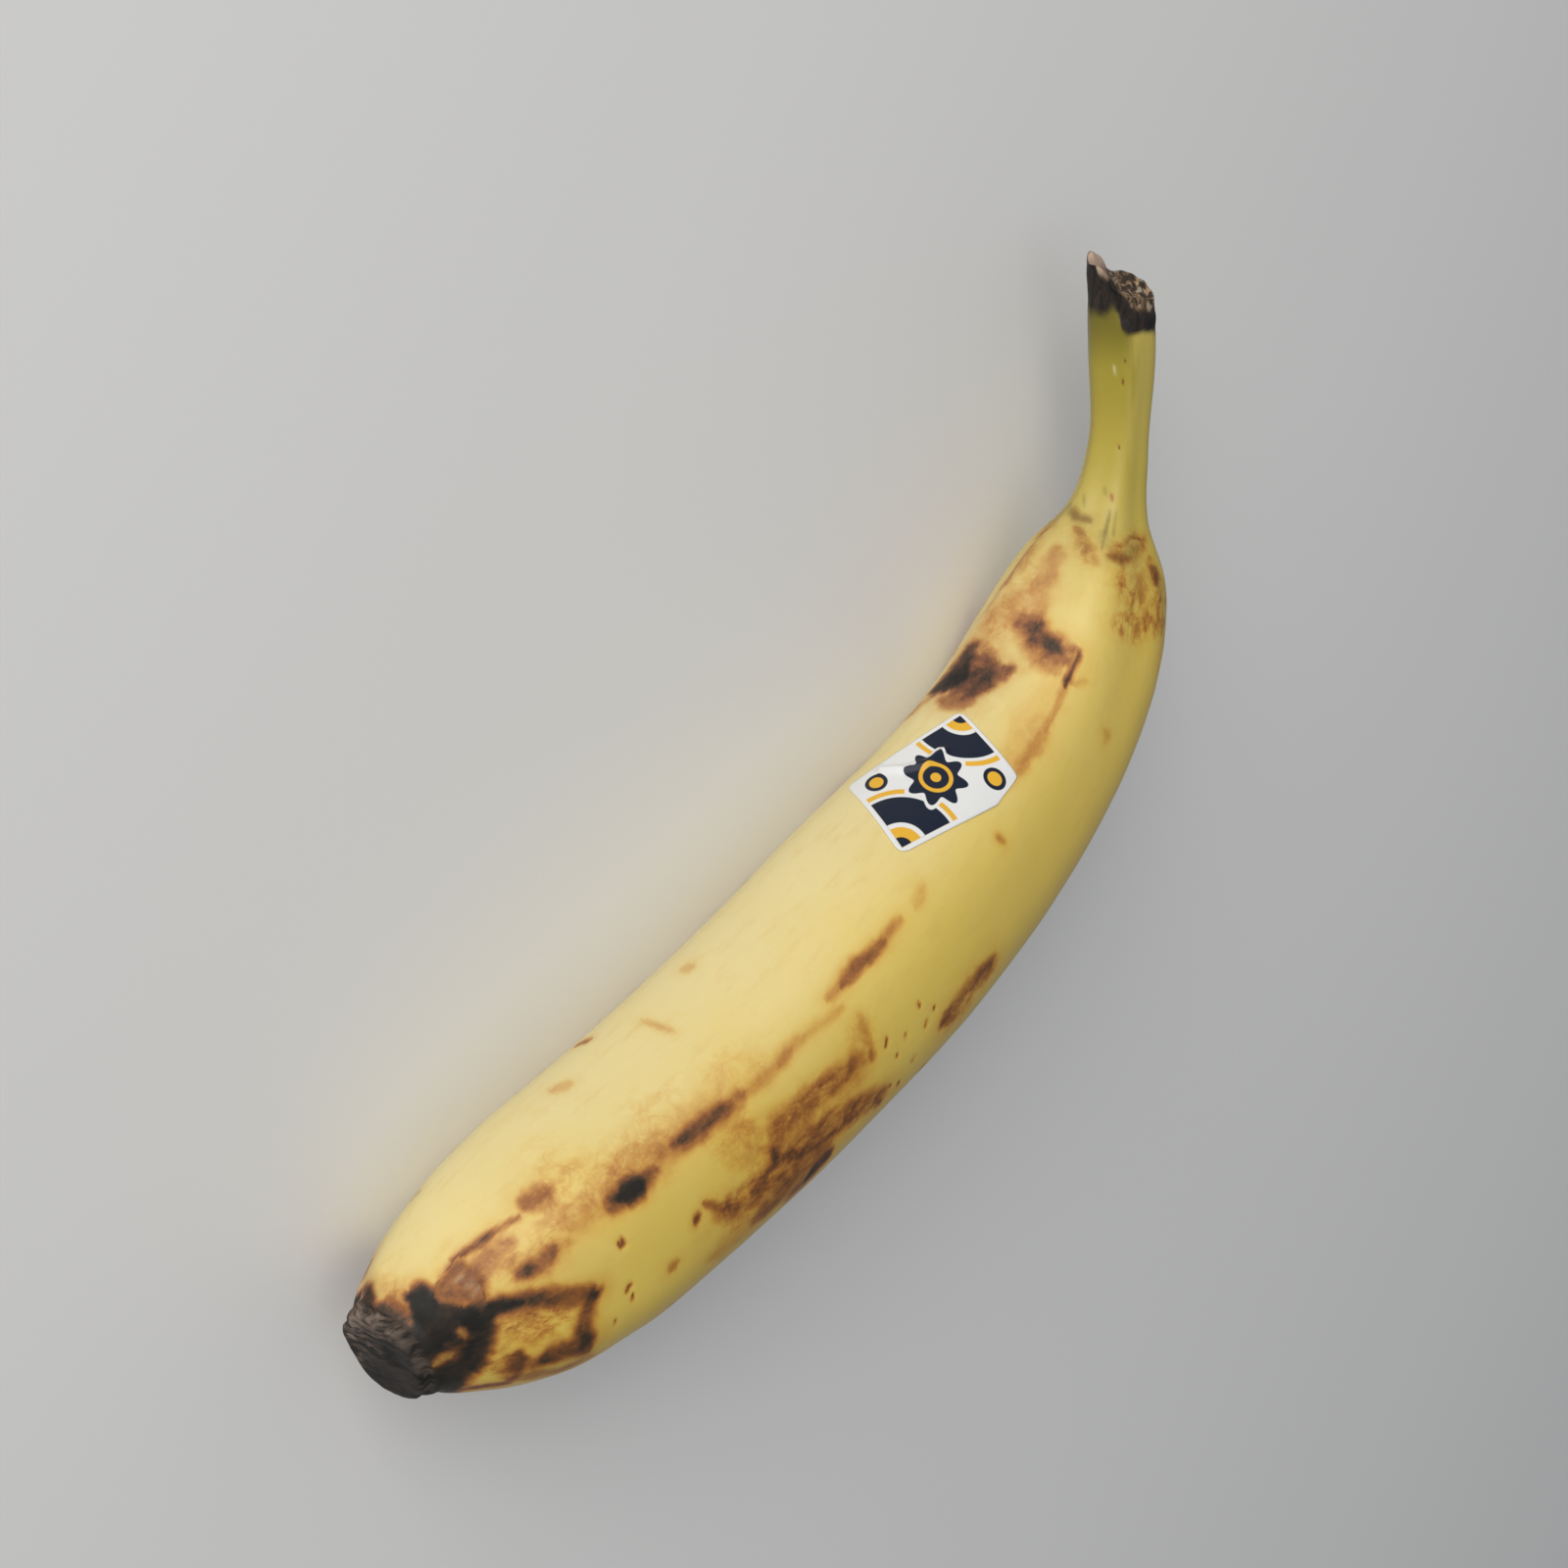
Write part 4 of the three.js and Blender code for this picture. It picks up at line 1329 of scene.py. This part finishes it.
def label_map(mesh, places):
    """The label's flat map: its underside in the lower half, its face in the upper half."""
    layer = mesh.uv_layers.new(name="OFBake")
    corners = np.zeros(len(mesh.loops), np.int32)
    mesh.loops.foreach_get("vertex_index", corners)
    x, y, side = places[corners].T
    uv = np.stack([
        (x / LABEL["length"] + 0.5) * 0.9 + 0.05,
        (y / LABEL["width"] + 0.5) * 0.44 + 0.03 + 0.5 * side,
    ], -1)
    layer.data.foreach_set("uv", uv.ravel())


fruit_label_mesh = label_mesh()
fruit_label = bpy.data.objects.new("fruit_label", fruit_label_mesh)
bpy.context.collection.objects.link(fruit_label)
print("label:", len(fruit_label_mesh.polygons), "faces")

# %% [markdown]
# ## The label's print
# It is printed in two inks, dark blue and a warm yellow, on off-white paper: a quarter fan in two of
# its corners, a rosette with eight petals in the middle and two dots. Each shape is a distance from a
# point, cut off at a reach, which stays sharp at any size, where a picture of it would blur.

# %% The print's inks and shapes
INK_EDGE = 0.16
MARGIN = 0.8
PAPER_WHITE, BLUE_INK, YELLOW_INK = paint("#dddddb"), paint("#121c2e"), paint("#dfab33")
# Each shape is bands of ink, from the outermost in: how far each reaches, in millimetres, and its ink
FAN = [
    (10.4, YELLOW_INK), (9.5, PAPER_WHITE), (8.9, BLUE_INK), (4.2, PAPER_WHITE), (3.4, YELLOW_INK),
    (1.7, BLUE_INK),
]
DOT = [(1.9, BLUE_INK), (1.2, YELLOW_INK)]
DOT_AT = (8.6, -4.9)
PETALS = 8
PETAL_DEPTH = 0.8
PETAL_BANDS = [(5.4, PAPER_WHITE), (4.6, BLUE_INK)]
HEART_BANDS = [(2.9, YELLOW_INK), (2.2, BLUE_INK), (0.9, YELLOW_INK)]


def label_finish():
    r = Recipe("fruit_label")
    place = r.field("on_label", "Vector")
    x, y = r.split(place, "XY")
    flat = r.stretched(place, (1, 1, 0))

    def inside(distance, reach):
        """1 where the distance is under the reach, with a printed edge's softness."""
        return 1 - distance.step(reach - INK_EDGE / 2, reach + INK_EDGE / 2)

    def from_point(cx, cy):
        return r.add("ShaderNodeVectorMath", {"operation": "DISTANCE"}, {0: flat, 1: (cx, cy, 0)}, "Value")

    def printed(colour, distance, bands, where=1):
        for reach, ink in bands:
            colour = r.mix(inside(distance, reach) * where, colour, ink)
        return colour

    across, upward = HALF_LENGTH - MARGIN, HALF_WIDTH - MARGIN
    framed = inside(x.math("ABSOLUTE"), across) * inside(y.math("ABSOLUTE"), upward)
    colour = PAPER_WHITE
    for side in (-1, 1):
        colour = printed(colour, from_point(side * across, side * upward), FAN, framed)
        colour = printed(colour, from_point(side * DOT_AT[0], side * DOT_AT[1]), DOT)
    centre = from_point(0, 0)
    petals = (y.math("ARCTAN2", x) * PETALS).math("COSINE") * PETAL_DEPTH
    colour = printed(colour, centre - petals, PETAL_BANDS)
    colour = printed(colour, centre, HEART_BANDS)
    return r.finish(Base_Color=colour, Roughness=0.4, Specular_IOR_Level=0.3)


fruit_label_mesh.materials.append(label_finish())
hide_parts("label")
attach(fruit_label, "root")
print("label material nodes:", len(fruit_label_mesh.materials[0].node_tree.nodes))

# %% [markdown]
# ## The floor
# The fruit lies on a plain pale floor, which takes its shadow and throws a little light back under it.
# It is one big flat square, so that its edge never shows, with a faint unevenness in its gloss.

# %% Floor
FLOOR_SIZE = 4.0
CLOTH_SCALE = 900.0


def make_floor():
    r = Recipe("pale_floor")
    cloth = r.noise(r.add("ShaderNodeTexCoord", out="Object"), CLOTH_SCALE, 3.0)
    r.finish(Base_Color=paint("#e6e5e2"), Roughness=0.9 - cloth * 0.05, Specular_IOR_Level=0.2)
    mesh = bpy.data.meshes.new("floor")
    half = FLOOR_SIZE / 2
    corners = [(-half, -half, 0), (half, -half, 0), (half, half, 0), (-half, half, 0)]
    mesh.from_pydata(corners, [], [(0, 1, 2, 3)])
    mesh.materials.append(r.material)
    floor = bpy.data.objects.new("floor", mesh)
    bpy.context.collection.objects.link(floor)
    return floor


print("floor:", make_floor().name, FLOOR_SIZE, "m wide")

# %% [markdown]
# ## The light
# One big soft light stands low on the inside of the bend, like a window, so the peel is bright on that
# side and falls off to olive on the outer side. A weak one fills in from above, and the room adds a
# little bluish light. One hard lamp would give a harsh edge that waxy peel never shows.

# %% Lights and room
ROOM_COLOUR = (0.9, 0.93, 1.0, 1.0)
ROOM_STRENGTH = 0.28


def soft_light(name, towards, distance, size, power, tint):
    """A square light that looks at the fruit from a direction. Distance and size are in metres."""
    light = bpy.data.lights.new(name, "AREA")
    light.size = size
    light.energy = power
    light.color = tint
    lamp = bpy.data.objects.new(name, light)
    lamp.location = Vector(towards).normalized() * distance
    lamp.rotation_euler = Vector(towards).to_track_quat("Z", "Y").to_euler()
    bpy.context.collection.objects.link(lamp)


soft_light("window", (-0.25, 0.93, 0.42), 1.1, 0.9, 10.5, (1.0, 0.985, 0.96))
soft_light("fill", (-0.5, 0.2, 1.0), 1.4, 1.2, 2.8, (0.96, 0.98, 1.0))
world = bpy.data.worlds.new("soft_room")
world.use_nodes = True
background = world.node_tree.nodes["Background"]
background.inputs["Color"].default_value = ROOM_COLOUR
background.inputs["Strength"].default_value = ROOM_STRENGTH
bpy.context.scene.world = world
bpy.context.scene.view_settings.view_transform = "Standard"
